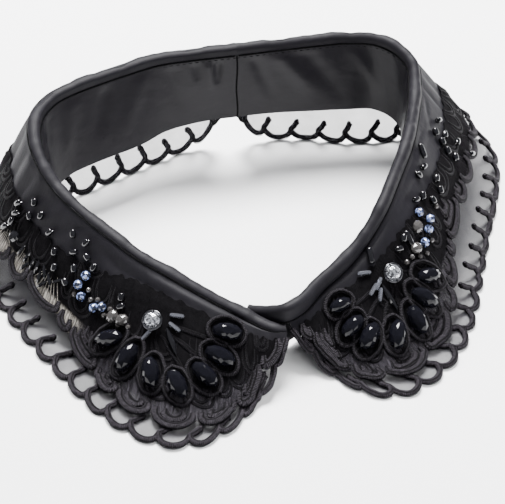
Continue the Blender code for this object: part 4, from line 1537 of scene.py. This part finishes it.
def ring_girth(steps, least, ends):
    """Girths that grow from both ends of a line."""
    share = np.linspace(0.0, 1.0, steps)
    return least + (1.0 - least) * smooth(np.minimum(share, 1.0 - share) / ends)


def lobe_bands(half, first, last, room, random):
    """The bands nested inside one lobe, as many as it has room for."""
    for ring, inset in enumerate(BAND_INSETS):
        if 0.5 * (last - first) * half.hem_length - inset < BAND_ROOM or room < inset + 5.0:
            return
        legs = min(3.0 + 1.2 * ring, room - inset - 2.0)
        where, down = lobe_ring(half, first, last, inset, legs)
        top, _ = lace_edge(half, where)
        line, up = on_lace(half, where, np.maximum(down, top + 1.0), BAND_LIFT)
        yield line, up, ring_girth(len(down), 0.4, 0.2) * random.uniform(0.94, 1.03)


def lobe_veins(half, middle, width, random):
    """The fine lines that fan out toward one lobe's edge."""
    share = np.linspace(0.0, 1.0, 9)
    for aside in np.linspace(-1.0, 1.0, VEINS):
        where = middle + 0.42 * width * aside * (0.45 + 0.55 * share) / half.hem_length
        _, edge = lace_edge(half, where)
        down = edge - 3.2 - (1.0 - share) * random.uniform(7.5, 10.0)
        line, up = on_lace(half, where, down, VEIN_LIFT)
        yield line, up, 0.4 + 0.6 * np.sin(np.linspace(0.2, 2.9, 9))


def notch_petals(half, notch, width, top, random):
    """The petals over one notch, row above row, each of two thin lines."""
    bottom = float(lace_edge(half, notch)[1]) - 7.5
    row = 0
    while bottom - top > PETAL_ROOM and row < PETAL_ROWS:
        middle = notch + (0.5 * width / half.hem_length) * (row % 2)
        for ring in range(2):
            wide = (0.30 * width + 1.0) * (1.0 - 0.38 * ring) * random.uniform(0.92, 1.06)
            where, down = cup(half, middle, bottom - 1.8 * ring, wide)
            edge_top, edge_low = lace_edge(half, where)
            down = np.clip(down, edge_top + 0.8, edge_low - 3.4)
            line, up = on_lace(half, where, down, PETAL_LIFT)
            yield line, up, ring_girth(len(down), 0.35, 0.25)
        bottom -= PETAL_PITCH
        row += 1


def lace_lines(half, random):
    """The raised rim of each lobe, the bands or veins in it, and the fainter petals above."""
    rim, bands, petals, veins = [], [], [], []
    notches, _ = lace_notches(half)
    for n, (first, last) in enumerate(zip(notches, notches[1:])):
        width = (last - first) * half.hem_length
        middle = 0.5 * (first + last)
        top, low = (float(edge) for edge in lace_edge(half, middle))
        room = low - top
        where, down = lobe_ring(half, first, last, RIM_INSET, min(3.4, room - 3.0))
        rim.append((*on_lace(half, where, down, RIM_LIFT), ring_girth(len(down), 0.55, 0.16)))
        if middle > VEINED_TO[half.side]:
            bands.extend(lobe_bands(half, first, last, room, random))
        else:
            veins.extend(lobe_veins(half, middle, width, random))
        if n:
            petals.extend(notch_petals(half, first, width, top, random))
    return rim, bands, petals, veins


def plan_direction(degrees):
    """A direction of the plan, turned from straight forward toward +X."""
    angle = math.radians(degrees)
    return np.array([math.sin(angle), -math.cos(angle)])


def over_plan(half, spots, lift):
    """A line on the lace over places of the plan, with the cloth's direction at each."""
    line, ups = zip(*(on_lace(half, *half.over(*spot), lift) for spot in spots))
    return np.array(line), np.array(ups)


def oval(centre, toward, length, width):
    """Places of the plan round an oval."""
    side = np.array([-toward[1], toward[0]])
    for angle in np.linspace(0.0, 2.0 * math.pi, 33):
        yield centre + 0.5 * (length * math.cos(angle) * toward + width * math.sin(angle) * side)


# How much longer and wider the middle of a crystal's ring is than the crystal
RING_ROOM = 2.6
# Where a leaf of the fan begins from its centre, where it ends short of the crystals, and least end
LEAF_START = 5.5
LEAF_SHORT = 1.5
LEAF_LEAST = 11.0


def make_embroidery(side, rim_width):
    """The lace's raised embroidery, with the rings and leaves of its fan."""
    half = HALVES[side]
    random = Random(11 if side == "left" else 23)
    rim, bands, petals, veins = lace_lines(half, random)
    cords(f"Lace-rim.{side}", rim, "thread", "lace", (rim_width, RIM_HEIGHT), 10)
    cords(f"Lace-bands.{side}", bands, "thread", "lace", BAND_SIZE)
    cords(f"Lace-veins.{side}", veins, VEIN_THREAD[side], "lace", VEIN_SIZE, 5)
    cords(f"Lace-petals.{side}", petals, "dark_thread", "lace", PETAL_SIZE)
    centre = np.array(FAN_CENTRES[side]) - PLAN_CENTRE
    rings, leaves = [], []
    rows = CRYSTALS[side]
    for row in rows:
        toward = plan_direction(row.angle)
        length, width = (size * row.size + RING_ROOM for size in CRYSTAL_SIZE[:2])
        spots = oval(centre + row.distance * toward, toward, length, width)
        rings.append((*over_plan(half, spots, RING_LIFT), 1.0))
    for first, second in zip(rows, rows[1:]):
        toward = plan_direction(0.5 * (first.angle + second.angle))
        end = max(0.5 * (first.distance + second.distance) - LEAF_SHORT, LEAF_LEAST)
        spots = (centre + toward * gone for gone in np.linspace(LEAF_START, end, 9))
        girth = 0.25 + 0.75 * np.sin(np.linspace(0.25, 2.9, 9))
        leaves.append((*over_plan(half, spots, LEAF_LIFT), girth))
    cords(f"Crystal-rings.{side}", rings, "ring_thread", "lace", RING_SIZE)
    cords(f"Fan-leaves.{side}", leaves, "dark_thread", "lace", LEAF_SIZE)


# The photograph's view, and the places in it

CAMERA_PLACE = (-96.1, -520.7, 456.4)
CAMERA_TARGET = (-1.67, 14.88, 0.0)
CAMERA_LENS = 126.53
SENSOR = 36.0
PHOTO_WIDTH, PHOTO_HEIGHT = 505.0, 504.0


def photo_axes():
    """Directions of the photograph's view: into it, to its right and up it."""
    ahead = unit(np.array(CAMERA_TARGET) - np.array(CAMERA_PLACE))
    right = unit(np.cross(ahead, (0.0, 0.0, 1.0)))
    return ahead, right, np.cross(right, ahead)


def photo_places(points):
    """Where points are seen in the photograph, and how far off they are."""
    ahead, right, up = photo_axes()
    gone = points - np.array(CAMERA_PLACE)
    depth = gone @ ahead
    scale = CAMERA_LENS / SENSOR * PHOTO_WIDTH / depth
    return 0.5 * PHOTO_WIDTH + gone @ right * scale, 0.5 * PHOTO_HEIGHT - gone @ up * scale, depth


# Middle of the beads above the fall, and the first share along where any is seen
BEAD_LEVEL = 3.3
BEADS_START = 0.2


def seen_at(half, x, y):
    """The share along and distance down of the cloth under what the photograph shows at a place."""
    net = half.points + half.normals * BEAD_LEVEL
    seen_x, seen_y, depth = photo_places(net)
    gap = np.hypot(seen_x - x, seen_y - y)
    gap[: int(BEADS_START * half.ACROSS)] = 1e9
    near = np.where(gap < gap.min() + 1.2, depth + 2.0 * gap, 1e9)
    i, k = np.unravel_index(np.argmin(near), near.shape)
    return i / (half.ACROSS - 1), half.reach[i] * k / (half.DOWN - 1)


# Stones and beads

# Middle of each fan, in the plan, and its crystals: the angle from straight forward toward +X, the
# distance and the size of each
FAN_CENTRES = {"left": (-46.7, -57.2), "right": (43.2, -49.7)}
Crystal = namedtuple("Crystal", "angle distance size")
CRYSTALS = {
    "left": (
        Crystal(-95.0, 15.8, 0.95),
        Crystal(-50.0, 13.6, 1.0),
        Crystal(-10.0, 17.3, 1.0),
        Crystal(12.0, 24.6, 1.0),
        Crystal(33.0, 27.1, 1.0),
        Crystal(51.0, 27.3, 1.0),
        Crystal(69.5, 27.1, 0.95),
    ),
    "right": (
        Crystal(-65.0, 24.0, 0.75),
        Crystal(-47.0, 25.2, 0.9),
        Crystal(-31.0, 25.0, 1.0),
        Crystal(-7.0, 20.5, 1.0),
        Crystal(25.0, 15.8, 1.0),
        Crystal(59.0, 12.5, 1.0),
        Crystal(96.0, 14.2, 0.9),
    ),
}
CRYSTAL_SIZE = (12.0, 6.8, 4.2)
STONE_DIAMETER = 7.2
STONE_HEIGHT = 3.8

# Where beads of each kind are seen in the photograph, and the way each is turned there in degrees
BEADS = {
    "left": {
        "bugle": (
            (177, 315, -10), (174, 327, -40), (150, 331, 52), (146, 335, 48),
        ),
        "leaf": (
            (172, 341, -68),
        ),
        "opal": (
            (86, 276, 0), (79, 285, 40), (82, 297, 10), (94, 308, 70), (102, 307, 25),
        ),
        "smoky": (
            (122, 320, 15), (113, 316, 50),
        ),
        "small": (
            (88, 290, 0), (104, 315, 0), (97, 300, 0), (74, 294, 0), (110, 309, 0),
            (90, 300, 0), (117, 325, 0), (128, 327, 0),
        ),
        "jet": (
            (17, 203, 20), (33, 202, 80), (16, 213, 10), (28, 216, 110), (39, 215, 60),
            (48, 232, 30), (71, 234, 100), (84, 243, 45), (54, 252, 80), (72, 252, 5),
            (86, 257, 130), (93, 267, 60), (74, 269, 95), (55, 267, 70), (5, 226, 20),
            (122, 297, 80), (121, 307, 20), (66, 282, 120), (12, 221, 50),
        ),
        "round": (
            (15, 237, 20),
        ),
        "claw": (
            (21, 250, 35), (26, 257, 38), (32, 263, 50), (24, 266, 25), (36, 267, 62),
            (44, 272, 98), (39, 277, 70), (41, 284, 20), (49, 280, 110), (57, 281, 8),
        ),
    },
    "right": {
        "bugle": (
            (365, 273, 8), (374, 290, 58), (381, 295, 80), (379, 284, 65),
        ),
        "leaf": (
            (390, 297, -60),
        ),
        "opal": (
            (420, 212, 0), (429, 219, 50), (428, 230, 80), (424, 243, 30),
        ),
        "smoky": (
            (416, 248, 20), (417, 227, 60),
        ),
        "small": (
            (437, 206, 0), (428, 253, 0), (400, 250, 0), (407, 262, 0), (432, 240, 0),
            (412, 257, 0), (420, 256, 0),
        ),
        "jet": (
            (441, 119, 25), (438, 131, 90), (446, 134, 60), (444, 140, 120), (457, 142, 40),
            (455, 157, 75), (471, 154, 20), (426, 166, 30), (421, 174, 150), (437, 178, 60),
            (440, 190, 100), (425, 195, 80), (418, 199, 20), (433, 200, 130), (404, 238, 70),
            (399, 249, 10), (448, 150, 110),
        ),
        "long": (
            (425, 150, -80), (371, 255, -80), (409, 238, -60),
        ),
    },
}
BeadSize = namedtuple("BeadSize", "length width height finish")
BEAD_SIZES = {
    "bugle": BeadSize(5.2, 1.7, 1.7, "silver"),
    "leaf": BeadSize(11.0, 2.4, 1.8, "jet"),
    "opal": BeadSize(3.9, 3.9, 3.1, "opal"),
    "smoky": BeadSize(5.6, 4.6, 3.2, "smoky"),
    "small": BeadSize(2.2, 2.2, 1.7, "smoky"),
    "jet": BeadSize(3.1, 2.5, 2.5, "jet"),
    "round": BeadSize(5.0, 5.0, 3.2, "jet"),
    "claw": BeadSize(5.6, 1.6, 1.5, "jet"),
    "long": BeadSize(6.2, 2.4, 2.2, "jet"),
}


def up_over(half, x, y):
    """The cloth's direction at a place of the plan."""
    return half.place(*half.over(x, y))[1]


def middle_of(node):
    """Middle of one of the solids, in millimetres."""
    low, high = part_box(node)
    return 0.5 * (np.array(low) + np.array(high)) / MM


def in_cloth(up, toward):
    """A direction of the plan, laid flat on the cloth."""
    ahead = np.array([*toward, 0.0])
    return unit(ahead - up * (ahead @ up))


# Rings of each stone from its foot: a share of its full size, a level, and a turn in shares of a side
CRYSTAL_RINGS = (
    (0.95, 0.0, 0.0), (0.99, 0.22, 0.5), (1.0, 0.34, 0.5),
    (0.86, 0.66, 0.0), (0.62, 0.88, 0.5), (0.42, 1.0, 0.0),
)
RHINESTONE_RINGS = (
    (0.66, 0.0, 0.0), (0.99, 0.30, 0.5), (1.0, 0.38, 0.5),
    (0.86, 0.62, 0.0), (0.70, 0.84, 0.5), (0.46, 0.95, 0.0), (0.22, 1.0, 0.5),
)
BEAD_RINGS = ((0.50, 0.0, 0.0), (0.84, 0.2, 0.5), (1.0, 0.48, 0.0), (0.84, 0.76, 0.5), (0.46, 1.0, 0.0))


def make_crystals(side):
    """The oval crystals of the fan, each in its own seat."""
    half = HALVES[side]
    stone = standing_stone("crystal_form", CRYSTAL_RINGS, 10, *CRYSTAL_SIZE)
    centre = np.array(FAN_CENTRES[side]) - PLAN_CENTRE
    for n, row in enumerate(CRYSTALS[side], start=1):
        node = f"crystal_{side}_{n}"
        toward = plan_direction(row.angle)
        up = up_over(half, *(centre + row.distance * toward))
        seat = middle_of(node) - up * 0.5 * CRYSTAL_SIZE[2] * row.size
        places = [(seat, up, in_cloth(up, toward), (row.size,) * 3)]
        set_stones(f"Crystal-{n}.{side}", places, stone, "crystal", "black_crystal", replaces=(node,))


# The setting: its claws' places up from the stone's foot and out from its middle in shares of its
# diameter, with their girths, and the ring's place up and its size in the same shares
CLAWS = 6
CLAW_ROWS = ((0.4, 0.50, 0.8), (1.6, 0.52, 0.8), (2.4, 0.47, 0.8), (2.9, 0.40, 0.6))
SETTING_LEVEL = 1.35
SETTING_SHARE = 0.96
SETTING_SIZE = (0.9, 0.9)


def make_rhinestone(side):
    """The clear stone of the fan, in its setting with claws."""
    half = HALVES[side]
    node = f"clear_stone_{side}"
    up = up_over(half, *(np.array(FAN_CENTRES[side]) - PLAN_CENTRE))
    ahead = in_cloth(up, (0.0, -1.0))
    across = np.cross(up, ahead)
    wide = STONE_DIAMETER * 0.92
    stone = standing_stone("rhinestone_form", RHINESTONE_RINGS, 12, wide, wide, STONE_HEIGHT)
    seat = middle_of(node) - up * 0.5 * STONE_HEIGHT
    places = [(seat + up * 0.05, up, ahead, (1.0, 1.0, 1.0))]
    set_stones(f"Rhinestone.{side}", places, stone, "rhinestone", "clear_stone", replaces=(node,))
    turn = np.linspace(0.0, 2.0 * math.pi, 33)[:, None]
    ring = seat + up * SETTING_LEVEL + 0.5 * STONE_DIAMETER * SETTING_SHARE * (
        np.cos(turn) * ahead + np.sin(turn) * across
    )
    lines = [(ring, np.tile(up, (len(ring), 1)), 1.0)]
    levels, shares, girths = np.array(CLAW_ROWS).T
    for k in range(CLAWS):
        angle = 2.0 * math.pi * (k + 0.5) / CLAWS
        out = math.cos(angle) * ahead + math.sin(angle) * across
        claw = seat + up * levels[:, None] + out * shares[:, None] * STONE_DIAMETER
        lines.append((claw, np.tile(up, (len(claw), 1)), girths))
    cords(f"Rhinestone-setting.{side}", lines, "setting", "clear_stone", SETTING_SIZE)


# Rings along a bead with a hole sunk in each end, and along a pointed one
HOLED = ((0.30, -0.34), (0.42, -0.47), (0.72, -0.5), (0.93, -0.38), (1.0, -0.15), (1.0, 0.15),
         (0.93, 0.38), (0.72, 0.5), (0.42, 0.47), (0.30, 0.34))
POINTED = ((0.16, -0.5), (0.52, -0.38), (0.86, -0.2), (1.0, 0.0), (0.86, 0.2), (0.52, 0.38), (0.16, 0.5))


def bead_mesh(kind):
    """One bead of this kind."""
    size = BEAD_SIZES[kind][:3]
    if kind in ("jet", "long", "bugle"):
        return lying_bead(kind, HOLED, 6 if kind == "bugle" else 12, *size)
    if kind in ("leaf", "claw"):
        return lying_bead(kind, POINTED, 6, *size)
    return standing_stone(kind, BEAD_RINGS, 7 if kind == "small" else 8, *size)


def make_beads(side):
    """The beads, each kind as one piece, where the photograph shows them."""
    half = HALVES[side]
    _, right, up_photo = photo_axes()
    for kind, size in BEAD_SIZES.items():
        places = []
        for x, y, turn in BEADS[side].get(kind, ()):
            along, down = seen_at(half, x, y)
            seat, up = half.place(along, down, cloth_top(half, along, down))
            angle = math.radians(turn)
            toward = math.cos(angle) * right + math.sin(angle) * up_photo
            ahead = unit(toward - up * (toward @ up))
            places.append((seat, up, ahead, (1.0, 1.0, 1.0)))
        if places:
            clear = size.finish in ("opal", "smoky", "silver")
            slot = "clear_stone" if clear else "black_crystal"
            name = f"{kind.capitalize()}-beads.{side}"
            stone = bead_mesh(kind)
            set_stones(name, places, stone, size.finish, slot, smooth_faces=kind in ("jet", "long"))


# Floor, lights and camera

# Place and diameter in millimetres, power in watts, and whether the stones mirror it
Light = namedtuple("Light", "name place size power mirrored")
LIGHTS = (
    Light("Window", (-420.0, 380.0, 620.0), 520.0, 9.0, False),
    Light("Ceiling", (60.0, 420.0, 860.0), 460.0, 50.0, True),
    Light("Fill", (480.0, -420.0, 460.0), 1000.0, 11.0, False),
)


FLOOR_HALF = 6000.0
SKY_COLOR = (0.92, 0.94, 1.0, 1.0)
SKY_STRENGTH = 0.3


def aimed(name, data, place):
    """A light or camera at a place, turned to the collar."""
    holder = bpy.data.objects.new(name, data)
    place = Vector(place) * MM
    turn = (Vector(CAMERA_TARGET) * MM - place).to_track_quat("-Z", "Y").to_matrix().to_4x4()
    holder.matrix_world = Matrix.Translation(place) @ turn
    bpy.context.scene.collection.objects.link(holder)
    return holder


def make_stage():
    """The floor, the lights, the sky and the camera."""
    scene = bpy.context.scene
    side = FLOOR_HALF
    corners = [(-side, -side, 0.0), (side, -side, 0.0), (side, side, 0.0), (-side, side, 0.0)]
    floor = bpy.data.objects.new("Floor", mesh_from("floor", corners, [(0, 1, 2, 3)]))
    floor.data.materials.append(finish_of("floor"))
    scene.collection.objects.link(floor)
    staged = [floor]
    for light in LIGHTS:
        lamp = bpy.data.lights.new(light.name, "AREA")
        lamp.shape = "DISK"
        lamp.size = light.size * MM
        lamp.energy = light.power
        lamp.specular_factor = float(light.mirrored)
        holder = aimed(light.name, lamp, light.place)
        holder.visible_glossy = light.mirrored
        staged.append(holder)
    world = bpy.data.worlds.new("Studio")
    world.use_nodes = True
    background = world.node_tree.nodes["Background"]
    background.inputs["Color"].default_value = SKY_COLOR
    background.inputs["Strength"].default_value = SKY_STRENGTH
    scene.world = world
    camera = bpy.data.cameras.new("Camera")
    camera.lens = CAMERA_LENS
    camera.sensor_width = SENSOR
    camera.clip_start, camera.clip_end = 0.01, 20.0
    scene.camera = aimed("Camera", camera, CAMERA_PLACE)
    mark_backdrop(*staged)


# Sizes and colours that a user would change


def thickness(name, description, default):
    """A length in metres, given in millimetres."""
    return FloatProperty(
        name=name, description=description, default=default * MM, min=0.0, unit="LENGTH", precision=5
    )


def tint(name, description, default):
    """A colour."""
    return FloatVectorProperty(
        name=name, description=description, default=default, size=3, min=0.0, max=1.0, subtype="COLOR"
    )


class COLLAR_PG_sizes(PropertyGroup):
    satin: thickness("Satin", "Thickness of the satin", 0.6)
    organza: thickness("Organza", "Thickness of the organza", 0.3)
    net: thickness("Lace ground", "Thickness of the lace's sheer ground", 0.4)
    cord: thickness("Hem cord", "Width of the embroidered edge of the organza", 2.5)
    rim: thickness("Lace rim", "Width of the embroidered edge of the lace", 3.2)
    picot: thickness("Bars", "Length of the bars run in from the hem's notches", 5.4)


class COLLAR_PG_colors(PropertyGroup):
    satin: tint("Satin", "Colour of the fall and of the neck binding", (0.0055, 0.0050, 0.0068))
    lining: tint("Lining", "Colour of the stand", (0.0062, 0.0056, 0.0074))
    organza: tint("Organza", "Colour of the sheer hem", (0.020, 0.019, 0.023))
    lace: tint("Lace ground", "Colour of the lace's sheer ground", (0.0035, 0.0032, 0.0038))
    thread: tint("Lace thread", "Colour of the lace's embroidery", (0.0075, 0.0067, 0.0080))
    ring_thread: tint("Ring thread", "Colour of the rings round the crystals", (0.0052, 0.0047, 0.0056))
    # Painted backlight: a light colour painted on the left rear lobes' veins and sheer ground, for light
    # seen through them
    painted_backlight_thread: tint("Pale thread", "Colour of the fine veins beyond the satin", (0.36, 0.335, 0.30))
    dark_thread: tint("Dark thread", "Colour of the fainter embroidery", (0.006, 0.0054, 0.0066))
    hem_thread: tint("Hem thread", "Colour of the embroidered hem", (0.0085, 0.0075, 0.009))
    piping: tint("Piping", "Colour of the piping at the seams", (0.003, 0.003, 0.0035))
    crystal: tint("Crystals", "Colour of the oval crystals", (0.003, 0.003, 0.0045))
    jet: tint("Jet beads", "Colour of the black beads", (0.004, 0.004, 0.005))
    opal: tint("Opal beads", "Colour of the bluish-white beads", (0.20, 0.26, 0.50))
    smoky: tint("Smoky beads", "Colour of the smoky clear beads", (0.050, 0.047, 0.046))
    silver: tint("Bugles", "Colour of the silver-lined bugles", (0.34, 0.35, 0.40))
    rhinestone: tint("Rhinestones", "Colour of the clear stones", (0.70, 0.72, 0.77))
    setting: tint("Settings", "Colour of the stones' settings", (0.12, 0.12, 0.13))
    floor: tint("Floor", "Colour of the floor", (0.92, 0.92, 0.925))


# Operators


class COLLAR_OT_stand(Operator):
    """Line the stand in smooth satin"""

    bl_idname = "collar.stand"
    bl_label = "Stand lining"

    def execute(self, context):
        for side in SIDES:
            make_stand(side, context.scene.collar_sizes.satin / MM)
        return {"FINISHED"}


class COLLAR_OT_binding(Operator):
    """Fold the binding over the neck edge, with piping at its seams"""

    bl_idname = "collar.binding"
    bl_label = "Neck binding"

    def execute(self, context):
        for side in SIDES:
            make_binding(side, context.scene.collar_sizes.satin / MM)
            sew_binding(side)
        cords("Back-seam", [(*back_seam(), 1.0)], "piping", "lining", BACK_SEAM_SIZE)
        return {"FINISHED"}


class COLLAR_OT_fall(Operator):
    """Lay the satin of the fall"""

    bl_idname = "collar.fall"
    bl_label = "Satin fall"

    def execute(self, context):
        for side in SIDES:
            make_fall(side, context.scene.collar_sizes.satin / MM)
        return {"FINISHED"}


class COLLAR_OT_organza(Operator):
    """Lay the sheer hem beyond the satin"""

    bl_idname = "collar.organza"
    bl_label = "Organza hem"

    def execute(self, context):
        for side in SIDES:
            make_organza(side, context.scene.collar_sizes.organza / MM)
        return {"FINISHED"}


class COLLAR_OT_hem(Operator):
    """Embroider the scalloped hem and the bars run in from its notches"""

    bl_idname = "collar.hem"
    bl_label = "Embroidered hem"

    def execute(self, context):
        sizes = context.scene.collar_sizes
        for side in SIDES:
            make_hem(side, sizes.cord / MM, sizes.picot / MM)
        return {"FINISHED"}


class COLLAR_OT_lace(Operator):
    """Lay the lace applique with its embroidery"""

    bl_idname = "collar.lace"
    bl_label = "Lace applique"

    def execute(self, context):
        sizes = context.scene.collar_sizes
        for side in SIDES:
            make_lace(side, sizes.net / MM)
            make_embroidery(side, sizes.rim / MM)
        return {"FINISHED"}


class COLLAR_OT_crystals(Operator):
    """Set the black crystals of the fans"""

    bl_idname = "collar.crystals"
    bl_label = "Crystals"

    def execute(self, context):
        for side in SIDES:
            make_crystals(side)
        return {"FINISHED"}


class COLLAR_OT_rhinestones(Operator):
    """Set the clear stone of each fan"""

    bl_idname = "collar.rhinestones"
    bl_label = "Rhinestones"

    def execute(self, context):
        for side in SIDES:
            make_rhinestone(side)
        return {"FINISHED"}


class COLLAR_OT_beads(Operator):
    """Sew on the beads"""

    bl_idname = "collar.beads"
    bl_label = "Beads"

    def execute(self, context):
        for side in SIDES:
            make_beads(side)
        return {"FINISHED"}


class COLLAR_OT_stage(Operator):
    """Set up the floor, lights and camera"""

    bl_idname = "collar.stage"
    bl_label = "Stage"

    def execute(self, context):
        make_stage()
        return {"FINISHED"}


OPERATORS = (
    COLLAR_OT_stand,
    COLLAR_OT_binding,
    COLLAR_OT_fall,
    COLLAR_OT_organza,
    COLLAR_OT_hem,
    COLLAR_OT_lace,
    COLLAR_OT_crystals,
    COLLAR_OT_rhinestones,
    COLLAR_OT_beads,
    COLLAR_OT_stage,
)


class COLLAR_PT_build(Panel):
    """Sizes, colours and steps of the collar"""

    bl_label = "Beaded lace collar"
    bl_space_type = "VIEW_3D"
    bl_region_type = "UI"
    bl_category = "Collar"

    def draw(self, context):
        for group in (context.scene.collar_sizes, context.scene.collar_colors):
            box = self.layout.box()
            for name in group.__annotations__:
                box.prop(group, name)
        for step in OPERATORS:
            self.layout.operator(step.bl_idname)


CLASSES = (COLLAR_PG_sizes, COLLAR_PG_colors, *OPERATORS, COLLAR_PT_build)


def register():
    for cls in CLASSES:
        bpy.utils.register_class(cls)
    bpy.types.Scene.collar_sizes = PointerProperty(type=COLLAR_PG_sizes)
    bpy.types.Scene.collar_colors = PointerProperty(type=COLLAR_PG_colors)


def unregister():
    del bpy.types.Scene.collar_colors
    del bpy.types.Scene.collar_sizes
    for cls in reversed(CLASSES):
        bpy.utils.unregister_class(cls)


def main():
    register()
    bpy.ops.collar.stand()
    bpy.ops.collar.binding()
    bpy.ops.collar.fall()
    bpy.ops.collar.organza()
    bpy.ops.collar.hem()
    bpy.ops.collar.lace()
    bpy.ops.collar.crystals()
    bpy.ops.collar.rhinestones()
    bpy.ops.collar.beads()
    bpy.ops.collar.stage()
    boxes = {"cad": CAD_BOX, "visual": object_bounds()}
    {name: [list(corner) for corner in box] for name, box in boxes.items()}


if __name__ == "__main__":
    main()
